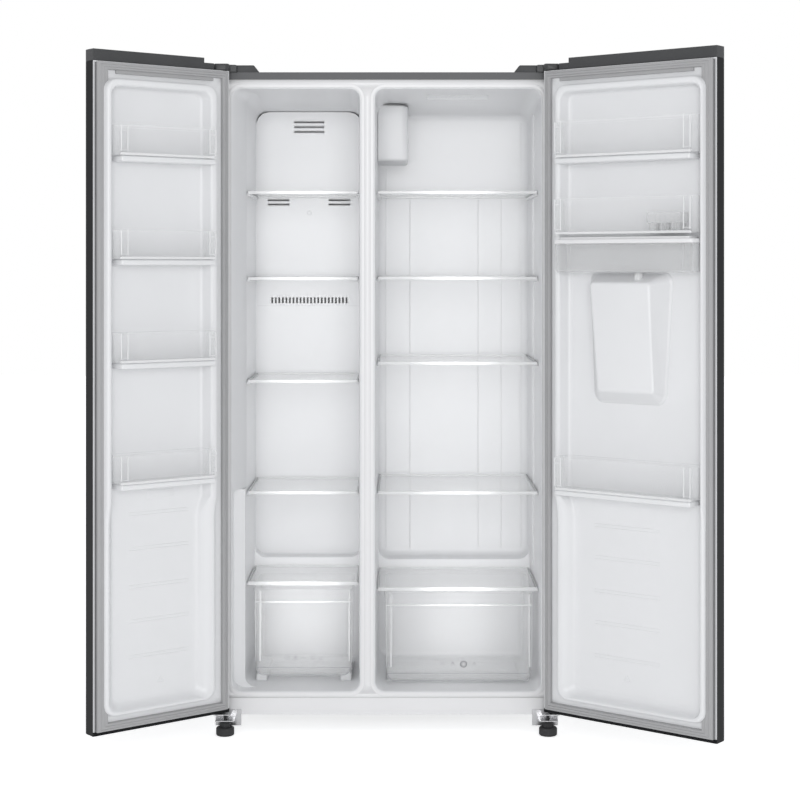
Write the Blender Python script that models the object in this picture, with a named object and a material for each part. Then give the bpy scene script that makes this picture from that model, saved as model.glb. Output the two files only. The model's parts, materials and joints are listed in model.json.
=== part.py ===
"""Side by side refrigerator: freezer on the left, fridge on the right, both doors standing open.

Metres, +Z up. The front faces -Y. Until the last step, X = 0 is the middle of the cabinet,
Y = 0 its front face and Z = 0 the floor; the last step puts the origin at the bottom centre
of the box around the open refrigerator.
"""
import math

import bmesh
import bpy
from mathutils import Matrix, Vector

# ---- driving dimensions -------------------------------------------------------------------
GAP = 0.0003                    # clearance between pieces that touch

WIDTH = 0.911
HALF = WIDTH / 2
DEPTH = 0.585                   # cabinet without doors
BOTTOM = 0.0465                 # underside of the cabinet above the floor
TOP = 1.750
SHEET = 0.0012                  # steel sheet
FLANGE_TOP = 0.0195             # front edge of the steel cabinet, folded in
FLANGE_SIDE = 0.010
KICK_TOP = 0.090                # seam between kick plate and face frame
FRAME = 0.0015                  # thickness of face frame and kick plate

OPEN_BOTTOM = 0.1075            # both openings
OPEN_TOP = 1.7065
CEILING_REAR = 1.677            # ceilings slope down to the rear
OPENING = {"freezer": (-0.411, -0.0713), "fridge": (-0.031, 0.411)}
WALL = {"freezer": (-0.380, -0.0745), "fridge": (-0.028, 0.4095)}
MOUTH = 0.050                   # depth over which an opening narrows to its walls
FLARE = 0.090                   # the same for the upper left side of the freezer
PAD_TOP = 0.637                 # below it that side steps in at once
LINER = 0.002
LINER_BACK = 0.487
STEP = {"freezer": (0.358, 0.405), "fridge": (0.415, 0.390)}    # depth, height
CORNER = 0.026                  # corner radius of the openings

MACHINE_FRONT = 0.445           # machine room at the bottom of the back
MACHINE_TOP = 0.335

SHELF_FRONT = {"freezer": 0.090, "fridge": 0.085}
SHELF_REAR = {"freezer": 0.405, "fridge": 0.478}
SHELF_X = {"freezer": (-0.3770, -0.0785), "fridge": (-0.0250, 0.4065)}
SHELF_TOPS = {
    "freezer": (1.439, 1.206, 0.928, 0.627),
    "fridge": (1.439, 1.207, 0.977, 0.627),
}
GLASS = 0.005
SHELF_LIP = 0.010
COVER_TOP = {"freezer": 0.382, "fridge": 0.367}
COVER_FRONT = {"freezer": 0.093, "fridge": 0.089}
COVER_REAR = {"freezer": 0.351, "fridge": 0.406}

DRAWER_X = {"freezer": (-0.3620, -0.0910), "fridge": (-0.0080, 0.3957)}
DRAWER_Z = {"freezer": (0.1270, 0.3610), "fridge": (0.1115, 0.3525)}
DRAWER_Y = {"freezer": (0.088, 0.345), "fridge": (0.085, 0.400)}
DRAWER_WALL = 0.0025
DRAWER_SLOPE = 0.012            # how much narrower the tub is at its floor

DOOR_TOP = 1.778
DOOR_BOTTOM = 0.0640
DOOR_FOOT = 0.010               # dark strip below the inner liner
DOOR_WIDTH = {"freezer": 0.400, "fridge": 0.506}
CAP_HEIGHT = 0.029              # plastic cap along the top edge of a door
PIVOT_IN = 0.0157               # hinge pin, from the side of the cabinet
PIVOT_FRONT = 0.035             # and in front of its face
OPEN_ANGLE = 142.0
SKIN_FRONT = -0.0240            # depths across a door, from its pin towards the cabinet
FLANGE_PLANE = 0.0230
GASKET_FACE = 0.0347
RIM_FACE = 0.0530               # top of the raised rim of the inner liner
RECESS_FLOOR = 0.0170
BIN_FACE = 0.0880
DOOR_LINER = 0.0020
GASKET_WIDTH = 0.0190
GASKET_HINGE = 0.0170           # the gasket's outer edge on the hinge side
GASKET_FREE = 0.0015            # and on the free side
RIM = {"freezer": (0.0520, 0.3765), "fridge": (0.0500, 0.4820)}
RECESS = {"freezer": (0.0750, 0.3610), "fridge": (0.0690, 0.4725)}
LOW_RECESS = {"freezer": (0.0990, 0.3470), "fridge": (0.0930, 0.4650)}
RIM_Z = (0.1100, 1.7050)
RECESS_Z = (0.1250, 1.6850)
LOW_RECESS_TOP = 0.640
NOTCH = 0.0764                  # end of the top cap, cut down for the hinge

BINS = {
    "freezer": ((1.512, 1.588), (1.253, 1.326), (0.994, 1.069), (0.692, 0.764)),
    "fridge": ((1.515, 1.608), (1.317, 1.409), (0.660, 0.745)),
}
BIN_WALL = 0.0022
TANK_Z = (1.2195, 1.2925)
LID_Z = (1.2930, 1.3100)
DISPENSER_U = (0.182, 0.326)    # water dispenser, from the hinge edge of the fridge door
DISPENSER_Z = (0.930, 1.180)
DISPENSER_BACK = 0.062
BULGE_BASE_U, BULGE_BASE_Z = (0.150, 0.372), (0.893, 1.214)
BULGE_U, BULGE_Z = (0.174, 0.334), (0.920, 1.187)
BULGE_FACE = 0.068
TAP_U = 0.2985
TAP_V = 0.045

PIN = 0.004                     # hinge pin radius
FOOT_X, FOOT_Y = 0.4255, -0.030
FOOT_RADIUS = 0.024
ROLLER_RADIUS = 0.020
ROLLER_X, ROLLER_Y = 0.395, 0.535

# ---- colours: base colour, roughness, metallic --------------------------------------------
FINISHES = {
    "cabinet_grey": ((0.105, 0.105, 0.110), 0.40, 0.6),
    "door_black": ((0.020, 0.020, 0.022), 0.25, 0.5),
    "liner_white": ((0.80, 0.80, 0.81), 0.35, 0.0),
    "frame_white": ((0.82, 0.82, 0.83), 0.30, 0.0),
    "dark_plastic": ((0.060, 0.060, 0.062), 0.50, 0.0),
    "gasket_grey": ((0.30, 0.30, 0.31), 0.65, 0.0),
    "clear_plastic": ((0.80, 0.82, 0.83), 0.12, 0.0),
    "glass": ((0.80, 0.86, 0.85), 0.05, 0.0),
    "steel": ((0.55, 0.55, 0.56), 0.35, 1.0),
    "galvanised": ((0.48, 0.49, 0.50), 0.45, 1.0),
    "foam": ((0.78, 0.70, 0.45), 0.90, 0.0),
    "black_enamel": ((0.015, 0.015, 0.016), 0.35, 0.2),
    "copper": ((0.72, 0.36, 0.22), 0.35, 1.0),
    "aluminium": ((0.75, 0.76, 0.77), 0.35, 1.0),
    "rubber": ((0.03, 0.03, 0.03), 0.80, 0.0),
}


# ---- helpers ------------------------------------------------------------------------------
def clear_scene():
    for obj in list(bpy.data.objects):
        bpy.data.objects.remove(obj, do_unlink=True)
    for coll in list(bpy.data.collections):
        bpy.data.collections.remove(coll)


def make_collection(name):
    coll = bpy.data.collections.new(name)
    bpy.context.scene.collection.children.link(coll)
    return coll


def material(name):
    mat = bpy.data.materials.get(name)
    if mat is None:
        colour, roughness, metallic = FINISHES[name]
        mat = bpy.data.materials.new(name)
        mat.use_nodes = True
        shader = mat.node_tree.nodes["Principled BSDF"]
        shader.inputs["Base Color"].default_value = (*colour, 1.0)
        shader.inputs["Roughness"].default_value = roughness
        shader.inputs["Metallic"].default_value = metallic
        mat.diffuse_color = (*colour, 1.0)
    return mat


def add_object(name, bm, finish=None, parent=None):
    """A mesh object: a part when it has a finish, otherwise a cutting or joining tool."""
    mesh = bpy.data.meshes.new(name)
    bmesh.ops.recalc_face_normals(bm, faces=bm.faces[:])
    bm.to_mesh(mesh)
    bm.free()
    obj = bpy.data.objects.new(name, mesh)
    if finish is None:
        TOOLS.objects.link(obj)
        obj.hide_render = True
        obj.display_type = "WIRE"
    else:
        PARTS.objects.link(obj)
        mesh.materials.append(material(finish))
    obj.parent = parent
    return obj


def cube(bm, lo, hi):
    """A box from its lowest to its highest corner; returns its vertices."""
    size = [b - a for a, b in zip(lo, hi)]
    middle = [(a + b) / 2 for a, b in zip(lo, hi)]
    place = Matrix.Translation(middle) @ Matrix.Diagonal((*size, 1.0))
    return bmesh.ops.create_cube(bm, size=1.0, matrix=place)["verts"]


def along(edge, axis):
    step = edge.verts[1].co - edge.verts[0].co
    return abs(step[axis]) > 0.9 * step.length


def middle_of(edge):
    return (edge.verts[0].co + edge.verts[1].co) / 2


def round_edges(bm, axis, radius, segments=2, where=None):
    """Rounds the edges that run along one axis, or those of them that where() picks."""
    picked = [e for e in bm.edges if along(e, axis) and (where is None or where(middle_of(e)))]
    bmesh.ops.bevel(bm, geom=picked, offset=radius, segments=segments, affect="EDGES", profile=0.5)


def block(name, lo, hi, finish=None, parent=None, rounds=()):
    """A box, with rounds given as (axis, radius, segments, where)."""
    bm = bmesh.new()
    cube(bm, lo, hi)
    for axis, radius, segments, where in rounds:
        round_edges(bm, axis, radius, segments, where)
    return add_object(name, bm, finish, parent)


def blocks(name, boxes, finish=None, parent=None):
    """Several separate boxes in one object."""
    bm = bmesh.new()
    for lo, hi in boxes:
        cube(bm, lo, hi)
    return add_object(name, bm, finish, parent)


def cylinder(name, start, end, radius, finish=None, parent=None, segments=20, bevel=0.0):
    """A round bar between two points."""
    start, end = Vector(start), Vector(end)
    turn = (end - start).to_track_quat("Z", "Y").to_matrix().to_4x4()
    place = Matrix.Translation((start + end) / 2) @ turn
    bm = bmesh.new()
    bmesh.ops.create_cone(bm, cap_ends=True, segments=segments, radius1=radius,
                          radius2=radius, depth=(end - start).length, matrix=place)
    if bevel:
        rims = [e for e in bm.edges if any(len(f.verts) > 4 for f in e.link_faces)]
        bmesh.ops.bevel(bm, geom=rims, offset=bevel, segments=2, affect="EDGES", profile=0.5)
    obj = add_object(name, bm, finish, parent)
    if finish:
        obj.data.shade_smooth()
        obj.data.set_sharp_from_angle(angle=math.radians(35))
    return obj


def boolean(obj, operation, tools, solver="EXACT"):
    for tool in tools:
        mod = obj.modifiers.new(operation.lower() + "_" + tool.name[:40], "BOOLEAN")
        mod.operation = operation
        mod.object = tool
        mod.solver = solver
    return obj


def cut(obj, *tools):
    return boolean(obj, "DIFFERENCE", tools)


def join(obj, *tools):
    return boolean(obj, "UNION", tools)


# ---- cabinet ------------------------------------------------------------------------------
def outer_cabinet():
    shell = block("outer_cabinet", (-HALF, 0, BOTTOM), (HALF, DEPTH, TOP), "cabinet_grey",
                  rounds=[(1, 0.003, 2, lambda m: m.z > 1)])
    inside = block("outer_cabinet_inside", (-HALF + SHEET, SHEET, -0.1),
                   (HALF - SHEET, DEPTH + 0.1, TOP - SHEET))
    window = block("outer_cabinet_window", (-HALF + FLANGE_SIDE, -0.1, -0.1),
                   (HALF - FLANGE_SIDE, 0.1, TOP - FLANGE_TOP))
    cut(shell, inside, window)


def back_panel():
    x = HALF - SHEET - GAP
    block("back_panel", (-x, DEPTH - SHEET, MACHINE_TOP + GAP), (x, DEPTH, TOP - SHEET - GAP),
          "galvanised")


def cavity_tool(name, room, grow):
    """The space of one compartment, grown by a wall thickness, open past the front."""
    x0, x1 = OPENING[room]
    w0, w1 = WALL[room]
    depth, height = STEP[room]
    fall = (OPEN_TOP - CEILING_REAR) / LINER_BACK
    low, high = OPEN_BOTTOM - grow, OPEN_TOP + grow
    back = LINER_BACK + grow
    tool = loft(name, (w0 - grow, w1 + grow, low, high + fall * 0.010, -0.010),
                (w0 - grow, w1 + grow, low, high - fall * back, back), 1,
                rounds=[(1, CORNER + 0.006, 3, None)])
    cut(tool, block(name + "_step", (-1, depth + grow, -0.1), (1, 1, height - grow)))

    def mouth(label, z0, z1, reach, ahead, radius_where):
        left = x0
        lean_left = (w0 - left) / reach if label != "_pad" else 0.0
        lean_right = (w1 - x1) / reach
        right_end = w1 - 0.0002
        left_end = left + lean_left * reach + (0.0002 if lean_left else 0.0)
        drop = fall if label != "_pad" else 0.0
        front = (left - grow + lean_left * ahead, x1 + grow + lean_right * ahead, z0,
                 z1 - drop * ahead, ahead)
        rear = (left_end - grow, right_end + grow, z0, z1 - drop * reach, reach)
        return loft(name + label, front, rear, 1, rounds=[(1, CORNER, 3, radius_where)])

    if room == "fridge":
        join(tool, mouth("_mouth", low + 0.0001, high - 0.0001, MOUTH, -0.02, None))
    else:
        join(tool,
             mouth("_mouth", PAD_TOP - grow, high - 0.0001, FLARE, -0.02, lambda m: m.z > 1),
             mouth("_pad", low + 0.0001, PAD_TOP + 0.0005 + grow, MOUTH + grow, -0.015,
                   lambda m: m.z < 0.5))
    return tool


def loft(name, lower, upper, axis, finish=None, parent=None, rounds=()):
    """A solid between two rectangles: each is (low, high, low, high, place) across one axis."""
    spans = [i for i in range(3) if i != axis]
    lo, hi = [0.0] * 3, [1.0] * 3
    bm = bmesh.new()
    for v in cube(bm, lo, hi):
        a, b, c, d, place = upper if v.co[axis] > 0.5 else lower
        v.co[axis] = place
        v.co[spans[0]] = b if v.co[spans[0]] > 0.5 else a
        v.co[spans[1]] = d if v.co[spans[1]] > 0.5 else c
    for edge_axis, radius, segments, where in rounds:
        round_edges(bm, edge_axis, radius, segments, where)
    return add_object(name, bm, finish, parent)


def shelf_ribs(room):
    """Ledges on both walls that carry the shelves, and rails under the drawer."""
    left, right = WALL[room]
    boxes = []
    levels = [(top, SHELF_REAR[room] - 0.02) for top in SHELF_TOPS[room]]
    levels.append((COVER_TOP[room], COVER_REAR[room] - 0.02))
    for top, rear in levels:
        under = top - GLASS - GAP
        boxes.append(((left - 0.001, 0.106, under - 0.006), (left + 0.009, rear, under)))
        boxes.append(((right - 0.009, 0.106, under - 0.006), (right + 0.001, rear, under)))
    x0, x1 = DRAWER_X[room]
    rail = DRAWER_Z[room][0] - GAP
    for x in (x0 + 0.045, x1 - 0.055):
        boxes.append(((x, 0.12, OPEN_BOTTOM - 0.001), (x + 0.010, 0.33, rail)))
    return blocks(room + "_liner_ribs", boxes)


def liner(room):
    name = room + "_liner"
    body = block(name, (-1, 0.0, -0.5), (1, 1, 3), "liner_white")
    boolean(body, "INTERSECT", [cavity_tool(name + "_outside", room, LINER)])
    cut(body, cavity_tool(name + "_inside", room, 0.0))
    join(body, shelf_ribs(room))


def cabinet_foam():
    x = HALF - SHEET - GAP
    foam = block("cabinet_foam", (-x, FRAME + GAP, BOTTOM + 0.0018 + GAP),
                 (x, DEPTH - SHEET - GAP, TOP - SHEET - GAP), "foam")
    machine = block("cabinet_foam_machine_room", (-1, MACHINE_FRONT - GAP, -0.1),
                    (1, 1, MACHINE_TOP + GAP))
    rooms = [cavity_tool("cabinet_foam_" + r, r, LINER + GAP) for r in SHELF_X]
    cut(foam, machine, *rooms)


def face_frame():
    x = HALF - FLANGE_SIDE - GAP
    frame = block("face_frame", (-x, 0.0, KICK_TOP + GAP), (x, FRAME, TOP - FLANGE_TOP - GAP),
                  "frame_white")
    for room in OPENING:
        cut(frame, cavity_tool("face_frame_" + room, room, LINER + GAP))


def kick_plate():
    x = HALF - FLANGE_SIDE - GAP
    block("kick_plate", (-x, 0.0, BOTTOM), (x, FRAME, KICK_TOP), "frame_white")


def base_pan():
    """Floor of the cabinet, front and roof of the machine room, and the rollers' lugs."""
    x = HALF - SHEET - GAP
    back = DEPTH - 0.0015 - GAP
    pan = block("base_pan", (-x, FRAME + GAP, BOTTOM), (x, back, BOTTOM + 0.0018), "galvanised")
    wall = block("base_pan_wall", (-x, MACHINE_FRONT, BOTTOM), (x, MACHINE_FRONT + 0.0012, MACHINE_TOP))
    roof = block("base_pan_roof", (-x, MACHINE_FRONT, MACHINE_TOP - 0.0012), (x, back, MACHINE_TOP))
    join(pan, wall, roof)
    for side in (-1, 1):
        lugs = []
        for offset in (-0.0165, 0.0145):
            x0 = side * ROLLER_X + offset
            lugs.append(((x0, ROLLER_Y - 0.012, 0.012), (x0 + 0.002, ROLLER_Y + 0.012, BOTTOM + 0.001)))
        label = "left" if side < 0 else "right"
        join(pan, blocks("base_pan_lugs_" + label, lugs))
        hole = cylinder("base_pan_axle_hole_" + label, (side * ROLLER_X - 0.03, ROLLER_Y, ROLLER_RADIUS),
                        (side * ROLLER_X + 0.03, ROLLER_Y, ROLLER_RADIUS), 0.0036, segments=12)
        cut(pan, hole)


def rollers():
    for side, label in ((-1, "left"), (1, "right")):
        at = Vector((side * ROLLER_X, ROLLER_Y, ROLLER_RADIUS))
        half = Vector((0.0115, 0, 0))
        axle = Vector((0.0195, 0, 0))
        wheel = cylinder("rear_roller_" + label, -half, half, ROLLER_RADIUS, "dark_plastic", segments=24)
        pin = cylinder("rear_roller_axle_" + label, -axle, axle, 0.0030, segments=12)
        wheel.location = at
        pin.location = at
        join(wheel, pin)


def machine_cover():
    x = HALF - SHEET - GAP
    cover = block("machine_cover", (-x, DEPTH - 0.0015, BOTTOM + 0.002),
                  (x, DEPTH, MACHINE_TOP), "cabinet_grey")
    slots = []
    for row in range(3):
        z = 0.105 + 0.055 * row
        for n in range(8):
            x0 = -0.36 + 0.09 * n
            slots.append(((x0, DEPTH - 0.05, z), (x0 + 0.070, DEPTH + 0.05, z + 0.012)))
    cut(cover, blocks("machine_cover_slots", slots))
    gland = (-0.40, DEPTH, 0.082)
    inner = Vector(gland) - Vector((0, 0.010, 0))
    join(cover, cylinder("cord_gland", inner, gland, 0.009, segments=16))
    cut(cover, cylinder("cord_gland_bore", (-0.40, DEPTH - 0.05, 0.082), (-0.40, DEPTH + 0.05, 0.082),
                        0.0045, segments=12))


def compressor():
    base = BOTTOM + 0.0018 + GAP
    body = cylinder("compressor", (-0.26, 0.514, base + 0.012), (-0.26, 0.514, base + 0.165), 0.056,
                    "black_enamel", segments=24, bevel=0.018)
    plate = block("compressor_plate", (-0.335, 0.455, base), (-0.185, 0.573, base + 0.014))
    tube = cylinder("compressor_tube", (-0.26, 0.514, base + 0.120), (-0.175, 0.514, base + 0.120),
                    0.005, segments=10)
    join(body, plate, tube)


def condenser():
    """Serpentine tube in the machine room, held between two straps."""
    curve = bpy.data.curves.new("condenser_tube", "CURVE")
    curve.dimensions = "3D"
    curve.bevel_depth = 0.004
    curve.bevel_resolution = 1
    curve.use_fill_caps = True
    points = []
    for n in range(6):
        z = 0.085 + 0.032 * n
        ends = (-0.02, 0.36) if n % 2 == 0 else (0.36, -0.02)
        points += [(x, 0.515, z) for x in ends]
    spline = curve.splines.new("POLY")
    spline.points.add(len(points) - 1)
    for point, place in zip(spline.points, points):
        point.co = (*place, 1)
    tube = bpy.data.objects.new("condenser_tube", curve)
    TOOLS.objects.link(tube)
    mesh = bpy.data.meshes.new_from_object(tube.evaluated_get(bpy.context.evaluated_depsgraph_get()))
    bpy.data.objects.remove(tube)
    bm = bmesh.new()
    bm.from_mesh(mesh)
    bmesh.ops.remove_doubles(bm, verts=bm.verts[:], dist=0.00001)
    coil = add_object("condenser", bm, "copper")
    base = BOTTOM + 0.0018 + GAP
    straps = [block("condenser_strap_%d" % n, (x, 0.505, base), (x + 0.0015, 0.525, 0.255))
              for n, x in enumerate((0.04, 0.30))]
    boolean(coil, "UNION", straps, "MANIFOLD")


# ---- inside the freezer and the fridge ----------------------------------------------------
def evaporator():
    x0, x1 = -0.365, -0.088
    back = LINER_BACK - GAP
    coil = block("evaporator", (x0, back - 0.050, 0.600), (x1, back, 0.840), "aluminium")
    pitch = (x1 - x0) / 15
    slots = []
    for n in range(15):
        x = x0 + pitch * (n + 0.30)
        slots.append(((x, 0.40, 0.590), (x + pitch * 0.5, back - 0.010, 0.850)))
    cut(coil, blocks("evaporator_slots", slots))


FAN = (-0.227, 0.449, 1.290)


def evaporator_fan():
    hub = cylinder("evaporator_fan", (0, 0, -0.010), (0, 0, 0.010), 0.018, "dark_plastic", segments=16)
    for n in range(5):
        bm = bmesh.new()
        blade = cube(bm, (0.012, -0.017, -0.0009), (0.055, 0.017, 0.0009))
        turn = Matrix.Rotation(math.radians(72 * n), 3, "Z") @ Matrix.Rotation(math.radians(24), 3, "X")
        bmesh.ops.rotate(bm, verts=blade, cent=(0, 0, 0), matrix=turn)
        tool = add_object("evaporator_fan_blade_%d" % n, bm)
        tool.location = FAN
        tool.rotation_euler = (math.radians(90), 0, 0)
        join(hub, tool)
    bore = cylinder("evaporator_fan_bore", (0, 0, -0.02), (0, 0, 0.004), 0.0026, segments=10)
    bore.location = FAN
    bore.rotation_euler = (math.radians(90), 0, 0)
    cut(hub, bore)
    hub.location = FAN
    hub.rotation_euler = (math.radians(90), 0, 0)


def evaporator_fan_motor():
    x, y, z = FAN
    motor = cylinder("evaporator_fan_motor", (x, y + 0.013, z), (x, LINER_BACK - GAP, z), 0.024,
                     "galvanised", segments=16)
    shaft = cylinder("evaporator_fan_shaft", (x, y - 0.002, z), (x, y + 0.014, z), 0.0021, segments=10)
    join(motor, shaft)


def freezer_duct_cover():
    y0, y1 = SHELF_REAR["freezer"] + 0.004, SHELF_REAR["freezer"] + 0.007
    left, right = WALL["freezer"]
    panel = block("freezer_duct_cover", (left + 0.001, y0, STEP["freezer"][1] + GAP),
                  (right - 0.001, y1, 1.680), "liner_white",
                  rounds=[(1, CORNER + 0.010, 3, lambda m: m.z > 1)])

    def slot(x0, z0, x1, z1):
        return (x0, y0 - 0.02, z0), (x1, y1 + 0.02, z1)

    slots = [slot(-0.2695, 1.6485 - 0.014 * n, -0.184, 1.6530 - 0.014 * n) for n in range(3)]
    for x0 in (-0.3456, -0.1700):
        slots += [slot(x0, 1.4235 - 0.0124 * n, x0 + 0.061, 1.4280 - 0.0124 * n) for n in range(2)]
    slots += [slot(-0.336 + 0.0102 * n, 1.1285, -0.3305 + 0.0102 * n, 1.1455) for n in range(22)]
    cut(panel, blocks("freezer_duct_slots", slots))


def damper_housing():
    fall = (OPEN_TOP - CEILING_REAR) / LINER_BACK
    wall = WALL["fridge"][0]
    front, rear = 0.250, LINER_BACK - GAP

    def form(label, inset, finish=None):
        a, b = front + inset, rear - inset
        tops = [OPEN_TOP - fall * y - 0.001 - inset for y in (a, b)]
        spans = (wall + GAP + inset, 0.058 - inset, 1.530 + inset)
        return loft(label, (*spans, tops[0], a), (*spans, tops[1], b), 1, finish,
                    rounds=[(1, 0.036 - inset, 3, lambda m: m.x < 0 and m.z > 1.6),
                            (1, 0.014, 2, lambda m: m.x > 0.05 and m.z < 1.6)])

    shell = form("damper_housing", 0.0, "liner_white")
    cut(shell, form("damper_housing_inside", 0.002),
        block("damper_housing_outlet", (0.0, 0.20, 1.552), (0.04, 0.26, 1.560)))


def lamp_cover():
    fall = (OPEN_TOP - CEILING_REAR) / LINER_BACK
    tops = [OPEN_TOP - fall * y - GAP for y in (0.105, 0.155)]
    loft("lamp_cover", (0.109, 0.275, 1.690, tops[0], 0.105), (0.109, 0.275, 1.690, tops[1], 0.155), 1,
         "clear_plastic", rounds=[(0, 0.004, 2, lambda m: m.z < 1.692)])


def shelves():
    for room, tops in SHELF_TOPS.items():
        for n, top in enumerate(tops, 1):
            glass_shelf("%s_shelf_%d" % (room, n), room, top, SHELF_FRONT[room], SHELF_REAR[room])
        name = "freezer_drawer_cover" if room == "freezer" else "crisper_cover"
        glass_shelf(name, room, COVER_TOP[room], COVER_FRONT[room], COVER_REAR[room])


def glass_shelf(name, room, top, front, rear):
    """A glass plate with a deeper lip along its front edge."""
    left, right = SHELF_X[room]
    shelf = block(name, (left, front, top - SHELF_LIP), (right, rear, top), "glass",
                  rounds=[(0, 0.003, 2, lambda m: m.y < front + 0.01 and m.z > top - 0.001)])
    under = block(name + "_under", (left - 0.1, front + 0.012, top - 0.1),
                  (right + 0.1, rear + 0.1, top - GLASS))
    cut(shelf, under)


def tapered_tub(name, lo, hi, wall, slope, finish=None):
    """A drawer tub, open at the top, whose sides close in towards the floor."""
    def form(label, lo, hi, radius, finish=None):
        bm = bmesh.new()
        low = lo[2]
        for v in cube(bm, lo, hi):
            if v.co.z < low + 0.01:
                v.co.x += slope if v.co.x < (lo[0] + hi[0]) / 2 else -slope
                v.co.y -= slope if v.co.y > (lo[1] + hi[1]) / 2 else 0
        round_edges(bm, 2, radius, 2)
        return add_object(label, bm, finish)
    tub = form(name, lo, hi, 0.014, finish)
    inner_lo = (lo[0] + wall, lo[1] + wall, lo[2] + wall)
    inner_hi = (hi[0] - wall, hi[1] - wall, hi[2] + 0.02)
    cut(tub, form(name + "_inside", inner_lo, inner_hi, 0.012))
    return tub


def drawers():
    for room, name in (("freezer", "freezer_drawer"), ("fridge", "crisper_drawer")):
        (x0, x1), (y0, y1), (z0, z1) = DRAWER_X[room], DRAWER_Y[room], DRAWER_Z[room]
        tub = tapered_tub(name, (x0, y0 + 0.009, z0), (x1, y1, z1), DRAWER_WALL, DRAWER_SLOPE,
                          "clear_plastic")
        front = block(name + "_front", (x0, y0 + 0.006, z0), (x1, y0 + 0.010, z1),
                      rounds=[(1, 0.024, 3, lambda m: m.z < z0 + 0.01)])
        grip = block(name + "_grip", (x0 + 0.008, y0, z1 - 0.036), (x1 - 0.008, y0 + 0.008, z1 - 0.032))
        lip = block(name + "_lip", (x0 + 0.008, y0, z1 - 0.036), (x1 - 0.008, y0 + 0.003, z1 - 0.022))
        join(tub, front, grip, lip)


# ---- hinges and feet ----------------------------------------------------------------------
def hinge_cover_form(label, side, inset, finish=None):
    """The part of a hinge cover over the cabinet, its inner end slanted."""
    low = TOP + GAP - inset
    high = TOP + 0.023 - inset
    (a, y0, _), (b, y1, _) = side_box(side, 0.338 + inset, 0.4545 - inset, 0.003 + inset, 0.095 - inset, 0, 1)
    slant = 0.013
    c, d = (a, b - slant) if side < 0 else (a + slant, b)
    return loft(label, (a, b, y0, y1, low), (c, d, y0, y1, high), 2, finish)


def hinge_nose_form(label, side, inset):
    low = TOP + GAP - inset
    high = TOP + 0.023 - inset
    spans = side_box(side, 0.4120 + inset, 0.4545 - inset, -0.0575 + inset, 0.010, low, high)
    return block(label, *spans, rounds=[(2, 0.010 - inset, 2, lambda m: m.y < -0.05)])


def side_box(side, x0, x1, y0, y1, z0, z1):
    """A box given for the right side, or mirrored to the left."""
    xs = sorted((side * x0, side * x1))
    return (xs[0], y0, z0), (xs[1], y1, z1)


def hinge_axis(side):
    return side * (HALF - PIVOT_IN), -PIVOT_FRONT


def hinges():
    for side, room in ((-1, "freezer"), (1, "fridge")):
        x, y = hinge_axis(side)
        low = TOP + GAP
        plate = block(room + "_top_hinge", *side_box(side, 0.360, 0.4520, 0.0055, 0.075, low, low + 0.003),
                      finish="steel")
        arm = block(room + "_top_hinge_arm", *side_box(side, 0.4275, 0.4520, -0.046, 0.010, low, low + 0.003))
        pin = cylinder(room + "_top_hinge_pin", (x, y, low + 0.001), (x, y, DOOR_TOP - CAP_HEIGHT - 0.0145),
                       PIN, segments=12)
        join(plate, arm, pin)

        cover = hinge_cover_form(room + "_hinge_cover", side, 0.0, "dark_plastic")
        nose = hinge_nose_form(room + "_hinge_cover_nose", side, 0.0)
        join(cover, nose)
        cut(cover, hinge_cover_form(room + "_hinge_cover_hollow", side, 0.002),
            hinge_nose_form(room + "_hinge_cover_nose_hollow", side, 0.002))

        upright = block(room + "_bottom_hinge", *side_box(side, 0.3854, 0.4540, -0.0033, -GAP, 0.018, 0.0600),
                        finish="steel")
        arm = block(room + "_bottom_hinge_arm", *side_box(side, 0.408, 0.4540, -0.056, -0.0010, 0.0575, 0.0600))
        shelf = block(room + "_bottom_hinge_shelf", *side_box(side, 0.400, 0.4500, -0.052, -0.0010, 0.040, 0.0425))
        pin = cylinder(room + "_bottom_hinge_pin", (x, y, 0.058), (x, y, 0.079), PIN, segments=12)
        join(upright, arm, shelf, pin)
        cut(upright, cylinder(room + "_bottom_hinge_hole", (side * FOOT_X, FOOT_Y, 0.035),
                              (side * FOOT_X, FOOT_Y, 0.048), 0.0048, segments=12))


def front_feet():
    for side, label in ((-1, "left"), (1, "right")):
        foot = cylinder("front_foot_" + label, (0, 0, 0), (0, 0, 0.022), FOOT_RADIUS, "rubber",
                        segments=24, bevel=0.004)
        nut = cylinder("front_foot_nut_" + label, (0, 0, 0.018), (0, 0, 0.034), 0.014, segments=6)
        stem = cylinder("front_foot_stem_" + label, (0, 0, 0.020), (0, 0, 0.054), 0.004, segments=12)
        for piece in (foot, nut, stem):
            piece.location = (side * FOOT_X, FOOT_Y, 0)
        join(foot, nut, stem)


# ---- doors --------------------------------------------------------------------------------
def door_box(side, u0, u1, v0, v1, z0, z1):
    """A box on a door: u from its hinge edge, v from the hinge pin towards the cabinet."""
    xs = sorted((-side * (u0 - PIVOT_IN), -side * (u1 - PIVOT_IN)))
    return (xs[0], v0, z0), (xs[1], v1, z1)


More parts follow.
